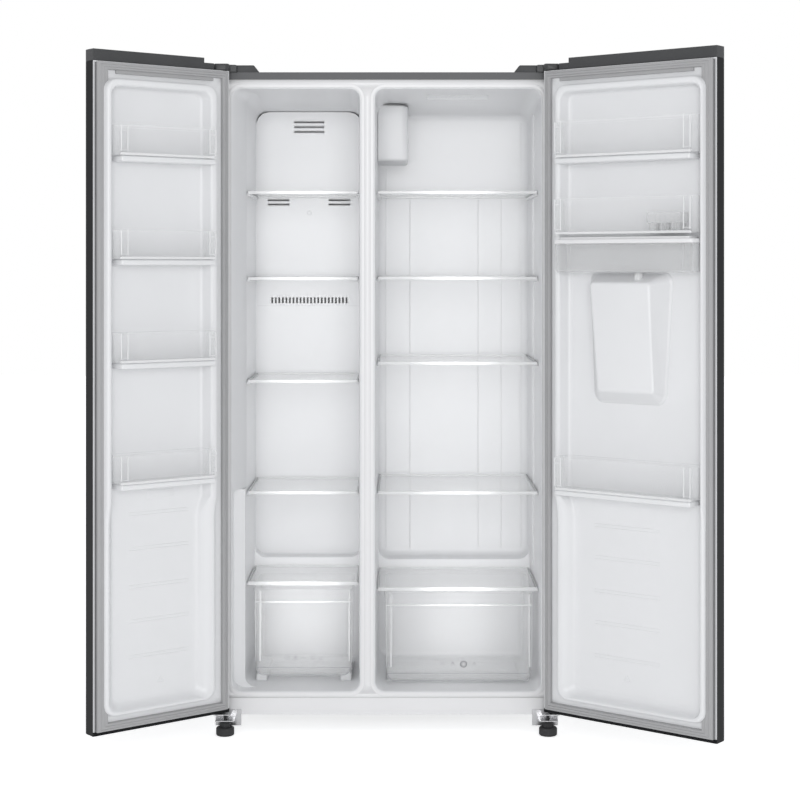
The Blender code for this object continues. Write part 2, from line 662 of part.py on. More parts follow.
class Door:
    """One door, built closed around its hinge pin and hung open on an empty."""

    def __init__(self, side, room):
        self.side, self.room = side, room
        self.width = DOOR_WIDTH[room]
        self.axis = bpy.data.objects.new(room + "_door_axis", None)
        PARTS.objects.link(self.axis)
        x, y = hinge_axis(side)
        self.axis.location = (x, y, 0)
        self.axis.rotation_euler = (0, 0, math.radians(side * OPEN_ANGLE))
        self.seam = DOOR_TOP - CAP_HEIGHT

    def box(self, label, spans, finish=None, rounds=()):
        return block(label, *door_box(self.side, *spans), finish=finish, parent=self.axis, rounds=rounds)

    def front_round(self, inset):
        """Rounding of the two upright edges at the front, for a surface set in by so much."""
        return [(2, 0.012 - inset, 3, lambda m: m.y < 0)]

    def pin_hole(self, label, z0, z1):
        return cylinder(self.room + label, (0, 0, z0), (0, 0, z1), PIN + 0.0005, parent=self.axis,
                        segments=12)

    def skin(self):
        """Outer steel panel with folded sides and the dark strip along its foot."""
        w, name = self.width, self.room + "_door_skin"
        rounding = self.front_round(0.0)
        inner = self.front_round(SHEET)
        skin = self.box(name, (0, w, SKIN_FRONT, 0.0205, DOOR_BOTTOM, self.seam - GAP), "door_black", rounding)
        foot = self.box(name + "_foot", (0, w, 0.0190, FLANGE_PLANE, DOOR_BOTTOM, DOOR_BOTTOM + DOOR_FOOT - GAP))
        join(skin, foot)
        inside = self.box(name + "_inside", (SHEET, w - SHEET, SKIN_FRONT + SHEET, FLANGE_PLANE - SHEET,
                                             DOOR_BOTTOM + SHEET, DOOR_BOTTOM + DOOR_FOOT), rounds=inner)
        above = self.box(name + "_above", (SHEET, w - SHEET, SKIN_FRONT + SHEET, 0.1,
                                           DOOR_BOTTOM + DOOR_FOOT - 0.001, 3), rounds=inner)
        cut(skin, inside, above, self.pin_hole("_skin_pin_hole", 0.05, 0.08))
        return skin

    def cap(self):
        w, name = self.width, self.room + "_door_top_cap"
        cap = self.box(name, (0, w, SKIN_FRONT, FLANGE_PLANE, self.seam, DOOR_TOP), "dark_plastic",
                       self.front_round(0.0))
        cut(cap, self.box(name + "_notch", (-0.1, NOTCH, -0.1, 0.1, self.seam + 0.0006, 2)))
        plug = self.box(name + "_plug", (SHEET + GAP, w - SHEET - GAP, SKIN_FRONT + SHEET + GAP, 0.0190,
                                         self.seam - 0.007, self.seam + 0.0002),
                        rounds=self.front_round(SHEET + GAP))
        join(cap, plug)
        cut(cap, self.pin_hole("_cap_pin_hole", 1.70, 1.76))

    def gasket(self):
        w, name = self.width, self.room + "_door_gasket"
        v0, v1 = FLANGE_PLANE + GAP, GASKET_FACE
        low, high = DOOR_BOTTOM + DOOR_FOOT, self.seam - 0.003
        u0, u1 = GASKET_HINGE, w - GASKET_FREE
        ring = self.box(name, (u0, u1, v0, v1, low, high), "gasket_grey", [(1, 0.004, 2, None)])
        cut(ring, self.box(name + "_inside", (u0 + GASKET_WIDTH, u1 - GASKET_WIDTH, v0 - 0.1, v1 + 0.1,
                                              low + GASKET_WIDTH, high - GASKET_WIDTH)))

    def liner_form(self, label, inset, finish=None):
        """Inner liner as a solid: flat flange, raised rim, recesses; inset by the sheet for its back."""
        w, t, room = self.width, inset, self.room
        name = "%s_door_liner%s" % (room, label)
        if inset:
            spans = (-0.1, w + 0.1, -0.2, FLANGE_PLANE - t, -0.1, 3)
        else:
            spans = (GAP, w - GAP, 0.0, FLANGE_PLANE, DOOR_BOTTOM + DOOR_FOOT, self.seam - GAP)
        form = self.box(name, spans, finish)
        (r0, r1), (z0, z1) = RIM[room], RIM_Z
        soft = [(1, 0.030, 3, None), (0, 0.006, 2, lambda m: m.y > RIM_FACE - 0.01),
                (2, 0.006, 2, lambda m: m.y > RIM_FACE - 0.01)]
        rim = self.box(name + "_rim", (r0 + t, r1 - t, 0.003 - t, RIM_FACE - t, z0 + t, z1 - t), rounds=soft)
        join(form, rim)
        (u0, u1), (z0, z1) = RECESS[room], RECESS_Z
        upper = self.box(name + "_upper", (u0 - t, u1 + t, RECESS_FLOOR - t, 0.2, LOW_RECESS_TOP - t, z1 + t),
                         rounds=[(1, 0.020, 3, lambda m: m.z > 1)])
        (u0, u1) = LOW_RECESS[room]
        lower = self.box(name + "_lower", (u0 - t, u1 + t, RECESS_FLOOR - t, 0.2, z0 - t, LOW_RECESS_TOP + 0.03),
                         rounds=[(1, 0.030, 3, lambda m: m.z < 0.5)])
        cut(form, upper, lower)
        if room == "fridge":
            (a, b), (c, d) = BULGE_BASE_U, BULGE_BASE_Z
            (e, f), (g, h) = BULGE_U, BULGE_Z
            x0, x1 = self.across(a + t, b - t)
            x2, x3 = self.across(e + t, f - t)
            bulge = loft(name + "_bulge", (x0, x1, c + t, d - t, RECESS_FLOOR - 0.010),
                         (x2, x3, g + t, h - t, BULGE_FACE - t), 1, parent=self.axis,
                         rounds=[(0, 0.010, 2, lambda m: m.y > 0.05), (2, 0.010, 2, lambda m: m.y > 0.05)])
            join(form, bulge)
        return form

    def across(self, u0, u1):
        return sorted((-self.side * (u0 - PIVOT_IN), -self.side * (u1 - PIVOT_IN)))

    def liner(self):
        flange = self.liner_form("", 0.0, "liner_white")
        cut(flange, self.liner_form("_back", DOOR_LINER))
        if self.room == "fridge":
            cut(flange, self.tap_hole("fridge_door_liner_tap_hole"))
        return flange

    def tap_hole(self, label):
        x = -self.side * (TAP_U - PIVOT_IN)
        return cylinder(label, (x, TAP_V, 1.16), (x, TAP_V, 1.2130), 0.0120, parent=self.axis, segments=16)

    def bin(self, number, low, high):
        """A clear door bin, open at the top."""
        r0, r1 = RECESS[self.room]
        name = "%s_door_bin_%d" % (self.room, number)
        u0, u1 = r0 + 0.0015, r1 - 0.0015
        v0 = RECESS_FLOOR + GAP
        soft = [(0, 0.012, 2, lambda m: m.y > 0.07 and m.z < low + 0.01),
                (2, 0.010, 2, lambda m: m.y > 0.07)]
        tub = self.box(name, (u0, u1, v0, BIN_FACE, low, high), "clear_plastic", soft)
        wall = BIN_WALL
        cut(tub, self.box(name + "_inside", (u0 + wall, u1 - wall, v0 + wall, BIN_FACE - wall,
                                             low + wall, high + 0.05),
                          rounds=[(0, 0.010, 2, lambda m: m.y > 0.07 and m.z < low + 0.01),
                                  (2, 0.008, 2, lambda m: m.y > 0.07)]))
        return tub

    def bins(self):
        for number, (low, high) in enumerate(BINS[self.room], 1):
            self.bin(number, low, high)


def water_tank(door):
    r0, r1 = RECESS["fridge"]
    u0, u1 = r0 + 0.0015, r1 - 0.0015
    v0, v1 = RECESS_FLOOR + GAP, BIN_FACE - 0.002
    low, high = TANK_Z
    wall = 0.0025

    def soft(radius):
        return [(0, radius, 2, lambda m: m.y > 0.07 and m.z < low + 0.01), (2, radius, 2, lambda m: m.y > 0.07)]

    tank = door.box("water_tank", (u0, u1, v0, v1, low, high), "clear_plastic", soft(0.010))
    cut(tank, door.box("water_tank_inside", (u0 + wall, u1 - wall, v0 + wall, v1 - wall, low + wall,
                                             high + 0.05), rounds=soft(0.008)))
    low, high = LID_Z
    lid = door.box("water_tank_lid", (u0, u1, v0, BIN_FACE, low, high), "frame_white",
                   [(2, 0.010, 2, lambda m: m.y > 0.07), (0, 0.003, 2, lambda m: m.y > 0.07 and m.z > low + 0.01)])
    cut(lid, door.box("water_tank_lid_inside", (u0 + wall, u1 - wall, v0 + wall, BIN_FACE - 0.004,
                                                low - 0.05, high - 0.003),
                      rounds=[(2, 0.008, 2, lambda m: m.y > 0.07)]))


def dispenser(door):
    u0, u1 = DISPENSER_U
    z0, z1 = DISPENSER_Z
    front = SKIN_FRONT - GAP
    housing = door.box("dispenser_housing", (u0, u1, front - 0.001, DISPENSER_BACK, z0, z1), "dark_plastic",
                       [(1, 0.010, 2, None)])
    bezel = door.box("dispenser_bezel", (u0 - 0.014, u1 + 0.014, front - 0.003, front, z0 - 0.014, z1 + 0.014),
                     rounds=[(1, 0.012, 2, None)])
    join(housing, bezel)
    cut(housing, door.box("dispenser_room", (u0 + 0.003, u1 - 0.003, -0.1, DISPENSER_BACK - 0.003,
                                             z0 + 0.003, z1 - 0.003), rounds=[(1, 0.008, 2, None)]),
        door.tap_hole("dispenser_tap_hole"))

    x = -door.side * (TAP_U - PIVOT_IN)
    tap = cylinder("water_tap", (x, TAP_V, 1.160), (x, TAP_V, TANK_Z[0] - GAP), 0.0110, "frame_white",
                   door.axis, segments=16)
    cut(tap, cylinder("water_tap_bore", (x, TAP_V, 1.10), (x, TAP_V, 1.21), 0.005, parent=door.axis,
                      segments=12))

    hinge = bpy.data.objects.new("dispenser_paddle_axis", None)
    PARTS.objects.link(hinge)
    hinge.parent = door.axis
    hinge.location = (-door.side * ((u0 + u1) / 2 - PIVOT_IN), 0.0300, 1.140)
    hinge.rotation_euler = (math.radians(-8), 0, 0)
    paddle = block("dispenser_paddle", (-0.024, -0.003, -0.120), (0.024, 0.0, 0.004), "dark_plastic", hinge,
                   [(1, 0.010, 2, lambda m: m.z < 0)])
    half = (u1 - u0) / 2 - 0.0035
    bar = cylinder("dispenser_paddle_bar", (-half, 0, 0), (half, 0, 0), 0.0035, parent=hinge, segments=12)
    join(paddle, bar)


def egg_tray(door):
    """Small tray standing in the second fridge bin."""
    low = BINS["fridge"][1][0] + BIN_WALL + GAP
    spans = (0.335, 0.430, RECESS_FLOOR + 0.006, BIN_FACE - 0.012, low, low + 0.050)
    tray = door.box("egg_tray", spans, "clear_plastic", [(2, 0.008, 2, None)])
    u0, _, v0, v1 = spans[:4]
    wells = []
    for n in range(3):
        a = u0 + 0.005 + 0.0290 * n
        wells.append(door_box(door.side, a, a + 0.026, v0 + 0.006, v1 - 0.006, low + 0.012, low + 0.2))
    cut(tray, blocks("egg_tray_wells", wells, parent=door.axis))


def doors():
    freezer = Door(-1, "freezer")
    fridge = Door(1, "fridge")
    for door in (freezer, fridge):
        skin = door.skin()
        door.cap()
        door.gasket()
        door.liner()
        door.bins()
        if door is fridge:
            u0, u1 = DISPENSER_U
            z0, z1 = DISPENSER_Z
            cut(skin, door.box("fridge_door_skin_window", (u0 - 0.0005, u1 + 0.0005, -0.1, 0.0, z0 - 0.0005,
                                                           z1 + 0.0005), rounds=[(1, 0.010, 2, None)]))
    water_tank(fridge)
    dispenser(fridge)
    egg_tray(fridge)


def put_origin_under_the_middle():
    """Moves everything so that the origin is at the bottom centre of the box around it."""
    bpy.context.view_layer.update()
    depsgraph = bpy.context.evaluated_depsgraph_get()
    points = []
    for obj in PARTS.objects:
        if obj.type == "MESH":
            mesh = obj.evaluated_get(depsgraph).data
            points += [obj.matrix_world @ v.co for v in mesh.vertices]
    shift = Vector([(min(p[i] for p in points) + max(p[i] for p in points)) / 2 for i in range(3)])
    shift.z = 0.0
    for obj in bpy.data.objects:
        if obj.parent is None:
            obj.location -= shift


clear_scene()
PARTS = make_collection("side_by_side_refrigerator")
TOOLS = make_collection("cutting_tools")

outer_cabinet()
back_panel()
cabinet_foam()
face_frame()
kick_plate()
base_pan()
for compartment in ("freezer", "fridge"):
    liner(compartment)
rollers()
machine_cover()
compressor()
condenser()
evaporator()
evaporator_fan()
evaporator_fan_motor()
freezer_duct_cover()
damper_housing()
lamp_cover()
shelves()
drawers()
hinges()
front_feet()
doors()
put_origin_under_the_middle()
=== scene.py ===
import json
import math

import bmesh
import bpy
from mathutils import Matrix, Vector


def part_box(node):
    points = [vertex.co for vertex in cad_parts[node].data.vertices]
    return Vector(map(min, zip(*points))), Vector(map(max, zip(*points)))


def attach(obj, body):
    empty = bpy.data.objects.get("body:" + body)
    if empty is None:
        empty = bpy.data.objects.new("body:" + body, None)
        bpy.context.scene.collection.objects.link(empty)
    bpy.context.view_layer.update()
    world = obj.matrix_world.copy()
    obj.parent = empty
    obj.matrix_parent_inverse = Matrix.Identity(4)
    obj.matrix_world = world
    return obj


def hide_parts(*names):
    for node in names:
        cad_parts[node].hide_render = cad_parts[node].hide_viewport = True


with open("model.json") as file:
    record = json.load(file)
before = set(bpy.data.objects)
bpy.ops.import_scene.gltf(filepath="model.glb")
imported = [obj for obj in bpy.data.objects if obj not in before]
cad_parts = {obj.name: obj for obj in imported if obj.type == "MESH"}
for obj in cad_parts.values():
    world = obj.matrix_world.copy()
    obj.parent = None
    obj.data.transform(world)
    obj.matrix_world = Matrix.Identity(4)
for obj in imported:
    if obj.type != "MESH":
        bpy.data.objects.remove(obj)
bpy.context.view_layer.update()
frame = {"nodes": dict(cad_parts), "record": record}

NODES = frame["nodes"]

# ---------------------------------------------------------------- places
# Cabinet coordinates: X from the cabinet's middle, Y back from its front plane, Z up.
cabinet_low, cabinet_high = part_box("outer_cabinet")
MIDDLE_X = (cabinet_low.x + cabinet_high.x) / 2
FRONT_Y = cabinet_low.y
SIDE = {"freezer": -1, "fridge": 1}
OPEN_ANGLE = math.radians(142)
PIVOT = (0.4398, -0.035)
PIVOT_IN = 0.0157


def at(x, y, z):
    """A point given in cabinet coordinates, in the row frame."""
    return Vector((x + MIDDLE_X, y + FRONT_Y, z))


def on_door(room):
    """Maps door coordinates to the row frame: u from the hinge edge, v from the pin to the cabinet, z up."""
    side = SIDE[room]
    angle = side * OPEN_ANGLE
    c, s = math.cos(angle), math.sin(angle)

    def place(u, v, z):
        x = -side * (u - PIVOT_IN)
        return at(side * PIVOT[0] + c * x - s * v, PIVOT[1] + s * x + c * v, z)

    return place


def inward(place):
    """The direction from a door's outer face to its inner one."""
    return place(0, 1, 0) - place(0, 0, 0)


def extent(node):
    """A CAD piece's box in cabinet coordinates, as one pair of numbers along each axis."""
    low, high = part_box(node)
    return (low.x - MIDDLE_X, high.x - MIDDLE_X), (low.y - FRONT_Y, high.y - FRONT_Y), (low.z, high.z)


# ---------------------------------------------------------------- materials
def links(tree):
    return tree.nodes.new, tree.links.new


def surface(name, colour, roughness, variation=0.03, scale=6.0, bump=0.05, grain=900.0, metallic=0.0,
            rough_spread=0.06, **sockets):
    """A procedural surface: cloudy colour and roughness, and a fine grain as bump."""
    mat = bpy.data.materials.new(name)
    mat.use_nodes = True
    tree = mat.node_tree
    new, link = links(tree)
    shader = tree.nodes["Principled BSDF"]
    shader.inputs["Metallic"].default_value = metallic
    for socket, value in sockets.items():
        shader.inputs[socket.replace("_", " ")].default_value = value
    place = new("ShaderNodeTexCoord")
    cloud = new("ShaderNodeTexNoise")
    cloud.inputs["Scale"].default_value = scale
    cloud.inputs["Detail"].default_value = 5
    link(place.outputs["Object"], cloud.inputs["Vector"])
    tint = new("ShaderNodeValToRGB")
    tint.color_ramp.elements[0].position = 0.3
    tint.color_ramp.elements[1].position = 0.7
    tint.color_ramp.elements[0].color = tuple(c * (1 - variation) for c in colour) + (1,)
    tint.color_ramp.elements[1].color = tuple(min(1, c * (1 + variation)) for c in colour) + (1,)
    link(cloud.outputs["Fac"], tint.inputs["Fac"])
    link(tint.outputs["Color"], shader.inputs["Base Color"])
    fine = new("ShaderNodeTexNoise")
    fine.inputs["Scale"].default_value = grain
    fine.inputs["Detail"].default_value = 3
    link(place.outputs["Object"], fine.inputs["Vector"])
    shine = new("ShaderNodeMapRange")
    shine.inputs["To Min"].default_value = max(0.02, roughness - rough_spread)
    shine.inputs["To Max"].default_value = roughness + rough_spread
    link(cloud.outputs["Fac"], shine.inputs["Value"])
    link(shine.outputs["Result"], shader.inputs["Roughness"])
    relief = new("ShaderNodeBump")
    relief.inputs["Strength"].default_value = bump
    relief.inputs["Distance"].default_value = 0.0004
    link(fine.outputs["Fac"], relief.inputs["Height"])
    link(relief.outputs["Normal"], shader.inputs["Normal"])
    return mat


def clear(name, colour, facing, grazing, roughness=0.08, blend=0.45, **sockets):
    """Clear plastic or glass: nearly open seen square on, closing up and shining towards its edges."""
    mat = surface(name, colour, roughness, variation=0.01, bump=0.01, grain=300, rough_spread=0.03, **sockets)
    tree = mat.node_tree
    new, link = links(tree)
    shader = tree.nodes["Principled BSDF"]
    weight = new("ShaderNodeLayerWeight")
    weight.inputs["Blend"].default_value = blend
    spread = new("ShaderNodeMapRange")
    spread.inputs["To Min"].default_value = facing
    spread.inputs["To Max"].default_value = grazing
    link(weight.outputs["Facing"], spread.inputs["Value"])
    link(spread.outputs["Result"], shader.inputs["Alpha"])
    return mat


def spangle(mat, scale):
    """Breaks a metal's roughness into the flat crystals of a hot dip coating."""
    tree = mat.node_tree
    new, link = links(tree)
    shader = tree.nodes["Principled BSDF"]
    place = new("ShaderNodeTexCoord")
    cells = new("ShaderNodeTexVoronoi")
    cells.inputs["Scale"].default_value = scale
    link(place.outputs["Object"], cells.inputs["Vector"])
    spread = new("ShaderNodeMapRange")
    spread.inputs["To Min"].default_value = 0.34
    spread.inputs["To Max"].default_value = 0.52
    link(cells.outputs["Color"], spread.inputs["Value"])
    link(spread.outputs["Result"], shader.inputs["Roughness"])


WHITE = surface("white_liner_plastic", (0.775, 0.78, 0.79), 0.32, variation=0.012, bump=0.03)
FRAME_WHITE = surface("white_frame_plastic", (0.79, 0.79, 0.797), 0.33, variation=0.01, bump=0.03)
STEEL = surface("painted_steel", (0.078, 0.08, 0.084), 0.42, variation=0.06, bump=0.08, grain=500)
DOOR_STEEL = surface("door_steel_dark", (0.0085, 0.009, 0.01), 0.34, variation=0.08, bump=0.05, grain=700,
                     Specular_IOR_Level=0.12)
DARK = surface("dark_plastic", (0.052, 0.053, 0.055), 0.45, variation=0.08, bump=0.12, grain=600)
GASKET = surface("gasket_vinyl", (0.395, 0.395, 0.4), 0.6, variation=0.02, bump=0.03, grain=700,
                 Specular_IOR_Level=0.3)
PLATED = surface("plated_steel", (0.55, 0.55, 0.56), 0.26, variation=0.05, bump=0.05, grain=300, metallic=1.0)
GALVANISED = surface("galvanised_steel", (0.5, 0.51, 0.52), 0.42, variation=0.07, scale=9, bump=0.04,
                     grain=160, metallic=0.9)
spangle(GALVANISED, 110)
FOAM = surface("foam", (0.8, 0.68, 0.42), 0.9, variation=0.1, scale=60, bump=0.6, grain=250)
ENAMEL = surface("black_enamel", (0.012, 0.012, 0.013), 0.28, variation=0.1, bump=0.04)
COPPER = surface("copper_tube", (0.72, 0.36, 0.21), 0.3, variation=0.1, scale=40, metallic=1.0)
ALUMINIUM = surface("aluminium_fins", (0.72, 0.73, 0.74), 0.35, variation=0.05, metallic=1.0)
RUBBER = surface("foot_rubber", (0.03, 0.03, 0.032), 0.7, variation=0.1, bump=0.2, grain=500)
CLEAR = clear("clear_plastic", (0.95, 0.955, 0.96), 0.03, 0.42)
GLASS = clear("shelf_glass", (0.92, 0.93, 0.93), 0.03, 0.26, roughness=0.05)
GROUND = clear("ground_glass_edge", (0.3, 0.32, 0.32), 0.55, 0.85, roughness=0.3)
TRIM = clear("shelf_strip", (0.93, 0.935, 0.94), 0.62, 0.95, roughness=0.12)
# Painted highlight: ribs, strips, feet and the tap valve of clear plastic drawn nearly opaque and white for
# the glints along their edges.
EDGE = clear("clear_edges_painted_highlight", (0.94, 0.945, 0.95), 0.58, 0.9, roughness=0.1)
PRINT = surface("grey_print", (0.2, 0.2, 0.21), 0.5, variation=0.05, bump=0.02)
# Painted shade: a grey clear plastic for the dark line along a clear drawer's folded foot.
FOLD_SHADE_PAINT = clear("clear_fold_shade_paint", (0.55, 0.56, 0.57), 0.3, 0.8, roughness=0.1)
# Painted shade: a grey ring drawn round each opening at the frame bead's outer foot stands in for the bead's
# shadow.
BEAD_SHADOW_PAINT = surface("frame_bead_shadow_paint", (0.71, 0.71, 0.717), 0.5, variation=0.02, bump=0.03)
# Painted shade: a dark grey for the shadow line round the damper housing under the ceiling and for the shade
# inside its outlet slots.
SHADE_GREY_PAINT = surface("painted_shade_grey", (0.22, 0.22, 0.225), 0.6, variation=0.06, bump=0.05)
HOUSING_WHITE = surface("housing_white_plastic", (0.69, 0.695, 0.705), 0.34, variation=0.012, bump=0.03)
PALE_SEAM = surface("pale_seam", (0.62, 0.62, 0.63), 0.6, variation=0.03, bump=0.03)
LIP = surface("door_edge_lip", (0.42, 0.42, 0.43), 0.4, variation=0.04, bump=0.03)
# Painted shadow: a dark strip for the shade between the door seal and the lining's raised rim.
SEAL_SHADOW_PAINT = surface("seal_valley", (0.24, 0.24, 0.245), 0.7, variation=0.03, bump=0.03)
TANK = clear("clear_tank", (0.84, 0.845, 0.85), 0.12, 0.6, roughness=0.1)
EDGE_THIN = clear("clear_cups", (0.85, 0.855, 0.86), 0.16, 0.75, roughness=0.08)

FINISH = {
    "cabinet_steel": STEEL, "door_steel": DOOR_STEEL, "white_liner": WHITE, "white_frame": FRAME_WHITE,
    "dark_plastic": DARK, "gasket_grey": GASKET, "clear_plastic": CLEAR, "glass": GLASS,
    "plated_steel": PLATED, "galvanised": GALVANISED, "foam": FOAM, "black_enamel": ENAMEL,
    "copper_tube": COPPER, "aluminium_fins": ALUMINIUM, "foot_rubber": RUBBER,
}
SLOT_OF = {}
for entry in frame["record"]["materials"]:
    for name in entry.get("nodes") or entry.get("applies_to") or []:
        SLOT_OF[name] = entry["slot"]
for name, obj in NODES.items():
    finish = FINISH.get(SLOT_OF.get(name))
    if finish is None and obj.data.materials and obj.data.materials[0]:
        finish = FINISH.get(obj.data.materials[0].name.split(".")[0])
    if finish is not None:
        obj.data.materials.clear()
        obj.data.materials.append(finish)

# ---------------------------------------------------------------- forms
def arc(count, radius, start):
    """A quarter circle about the origin, from the angle start on."""
    angles = [start + math.pi / 2 * i / count for i in range(count + 1)]
    return [(radius * math.cos(angle), radius * math.sin(angle)) for angle in angles]


def circle(a, b, c, radius, count):
    """A level circle about (a, b), at height c."""
    angles = [2 * math.pi * k / count for k in range(count)]
    return [(a + radius * math.cos(angle), b + radius * math.sin(angle), c) for angle in angles]


def loop(a0, a1, b0, b1, radius, count=6):
    """A rounded rectangle as a closed list of points, from its lower left corner on."""
    radii = radius if isinstance(radius, tuple) else (radius,) * 4
    corners = ((a0, b0, 1, 1), (a1, b0, -1, 1), (a1, b1, -1, -1), (a0, b1, 1, -1))
    points = []
    for k, ((a, b, sa, sb), r) in enumerate(zip(corners, radii)):
        r = max(r, 1e-5)
        for da, db in arc(count, r, math.pi + k * math.pi / 2):
            points.append((a + sa * r + da, b + sb * r + db))
    return points


def along_y(a, b, c):
    return a, c, b


def along_z(a, b, c):
    return a, b, c


def along_x(a, b, c):
    return c, a, b


SOFT_STEPS = ((1.0, 0.0), (0.617, 0.076), (0.293, 0.293), (0.076, 0.617), (0.0, 1.0))


class Form:
    """A mesh in the making, in cabinet or door coordinates."""

    def __init__(self, place=at):
        self.bm = bmesh.new()
        self.place = place

    def rings(self, rings, first=True, last=True, around=False):
        """Joins outlines of the same count into a skin, with end faces or closed on itself."""
        rows = [[self.bm.verts.new(self.place(*p)) for p in ring] for ring in rings]
        pairs = list(zip(rows, rows[1:]))
        if around:
            pairs.append((rows[-1], rows[0]))
        for one, two in pairs:
            for i in range(len(one)):
                j = (i + 1) % len(one)
                self.bm.faces.new((one[i], one[j], two[j], two[i]))
        if first and not around:
            self.bm.faces.new(rows[0])
        if last and not around:
            self.bm.faces.new(rows[-1])
        return rows

    def slab(self, a0, a1, b0, b1, c0, c1, radius=0.002, edge=0.001, way=along_z, count=4):
        """A box with rounded corners across its axis and softened ends."""
        ends = [(inset, c0 + edge * rise) for inset, rise in SOFT_STEPS]
        ends += [(inset, c1 - edge * rise) for inset, rise in reversed(SOFT_STEPS)]
        rings = []
        for inset, c in ends:
            d = edge * inset
            outline = loop(a0 + d, a1 - d, b0 + d, b1 - d, max(radius - d, 0.0002), count)
            rings.append([way(a, b, c) for a, b in outline])
        self.rings(rings)

    def bar(self, *sizes, count=4):
        """A slab whose axis runs front to back: across, up, front to back, corner radius, edge."""
        self.slab(*sizes, way=along_y, count=count)

    def turned(self, axis, start, profile, count):
        """A surface turned about an axis, from pairs of radius and place along the axis."""
        side = axis.orthogonal().normalized()
        over = axis.cross(side)
        angles = [2 * math.pi * i / count for i in range(count)]
        return [[tuple(start + axis * step + side * r * math.cos(t) + over * r * math.sin(t)) for t in angles]
                for r, step in profile]

    def rod(self, start, end, radius, count=16, edge=0.0006):
        """A round bar between two points."""
        start, end = Vector(start), Vector(end)
        axis = (end - start).normalized()
        size = (end - start).length
        profile = ((radius - edge, 0), (radius, edge), (radius, size - edge), (radius - edge, size))
        self.rings(self.turned(axis, start, profile, count))

    def torus(self, centre, normal, ring, tube, count=20, sides=8):
        """A round ring about an axis."""
        angles = [2 * math.pi * k / sides for k in range(sides)]
        profile = [(ring + tube * math.cos(t), tube * math.sin(t)) for t in angles]
        self.rings(self.turned(Vector(normal).normalized(), Vector(centre), profile, count), around=True)

    def tub(self, a0, a1, b0, b1, z0, z1, wall, floor, radius, edge=0.006, taper=0.0, rim=0.0,
            front_lean=0.0):
        """An open box with rounded corners, wider at the top by taper, with a thicker rim."""
        def ring(z, inset):
            t = (z1 - z) / (z1 - z0)
            d = inset + taper * t
            outline = loop(a0 + d, a1 - d, b0 + d + front_lean * t, b1 - d, max(radius - inset, 0.001), 5)
            return [(a, b, z) for a, b in outline]

        soft = 0.0008
        rings = [ring(z0 + edge * rise, edge * inset) for inset, rise in SOFT_STEPS]
        if rim:
            rings += [ring(z1 - 0.005, 0.0), ring(z1 - 0.0045, -rim), ring(z1 - soft, -rim),
                      ring(z1, soft - rim), ring(z1, wall - soft)]
        else:
            rings += [ring(z1 - soft, 0.0), ring(z1, 0.0006), ring(z1, wall - 0.0006)]
        rings += [ring(z1 - soft, wall), ring(z0 + floor + edge * 0.6, wall),
                  ring(z0 + floor + edge * 0.2, wall + edge * 0.25), ring(z0 + floor, wall + edge * 0.8)]
        self.rings(rings)

    def object(self, name, body, slot, material, replaces=(), smooth=38, facing=None, thick=0.0,
               flat_fill=False):
        """Makes the piece: facing turns an open skin outwards, and thick gives it a wall behind that side."""
        bm = self.bm
        bmesh.ops.recalc_face_normals(bm, faces=bm.faces)
        if facing is not None:
            way = sum((f.normal * f.calc_area() for f in bm.faces), Vector()).dot(facing)
            if way < 0:
                bmesh.ops.reverse_faces(bm, faces=bm.faces)
        mesh = bpy.data.meshes.new(name)
        bm.to_mesh(mesh)
        bm.free()
        mesh.materials.append(material)
        mesh.shade_smooth()
        mesh.set_sharp_from_angle(angle=math.radians(smooth))
        if flat_fill:
            for face in mesh.polygons:
                face.use_smooth = len(face.vertices) != 3
        obj = bpy.data.objects.new(name, mesh)
        bpy.context.scene.collection.objects.link(obj)
        if thick:
            shell = obj.modifiers.new("sheet", "SOLIDIFY")
            shell.thickness = thick
            shell.offset = -1
            shell.use_even_offset = False
        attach(obj, body)
        if replaces:
            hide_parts(*replaces)


def soften(node, width=0.0006, segments=2, angle=35):
    """Welds a CAD piece and rounds its sharp edges a little."""
    obj = NODES[node]
    weld = obj.modifiers.new("weld", "WELD")
    weld.merge_threshold = 0.00002
    bevel = obj.modifiers.new("edges", "BEVEL")
    bevel.width = width
    bevel.segments = segments
    bevel.limit_method = "ANGLE"
    bevel.angle_limit = math.radians(angle)
    bevel.use_clamp_overlap = True
    bevel.harden_normals = False
    obj.data.shade_smooth()
    obj.data.set_sharp_from_angle(angle=math.radians(40))
    even = obj.modifiers.new("even_shading", "WEIGHTED_NORMAL")
    even.mode = "FACE_AREA"
    even.weight = 100
    even.keep_sharp = True


# ---------------------------------------------------------------- cabinet
OPENING = {"freezer": (-0.411, -0.0713), "fridge": (-0.031, 0.411)}
WALL = {"freezer": (-0.38, -0.0745), "fridge": (-0.028, 0.4095)}
OPEN_LOW, OPEN_HIGH = 0.1075, 1.7065
FALL = (1.7065 - 1.677) / 0.487
LINER_BACK = 0.487
STEP = {"freezer": (0.358, 0.405), "fridge": (0.415, 0.39)}
PAD_TOP = 0.637
MOUTH, FLARE = 0.05, 0.09
CORNER = 0.026
BACK_BEADS = ((-0.0057, 0.41, 1.52, 0.0016), (0.0646, 0.41, 1.43, 0.0009), (0.2637, 0.41, 1.43, 0.0009),
              (0.3311, 0.41, 1.43, 0.0011), (0.3882, 0.41, 1.655, 0.0022))
SLOT_RIM = ((0.0003, 0.0006), (0.0003, -0.001), (0.001, -0.0016), (0.0022, -0.0012), (0.0026, 0.0),
            (0.0026, 0.0006))
SCREW_CAP = (-0.2265, 1.389)
BEAD_PROFILE = ((-0.012, 0.0004), (-0.0112, -0.0001), (-0.0104, -0.0002), (-0.0046, -0.0002),
                (-0.0034, 0.0002), (-0.003, 0.0009), (-0.003, 0.0014), (-0.012, 0.0014))
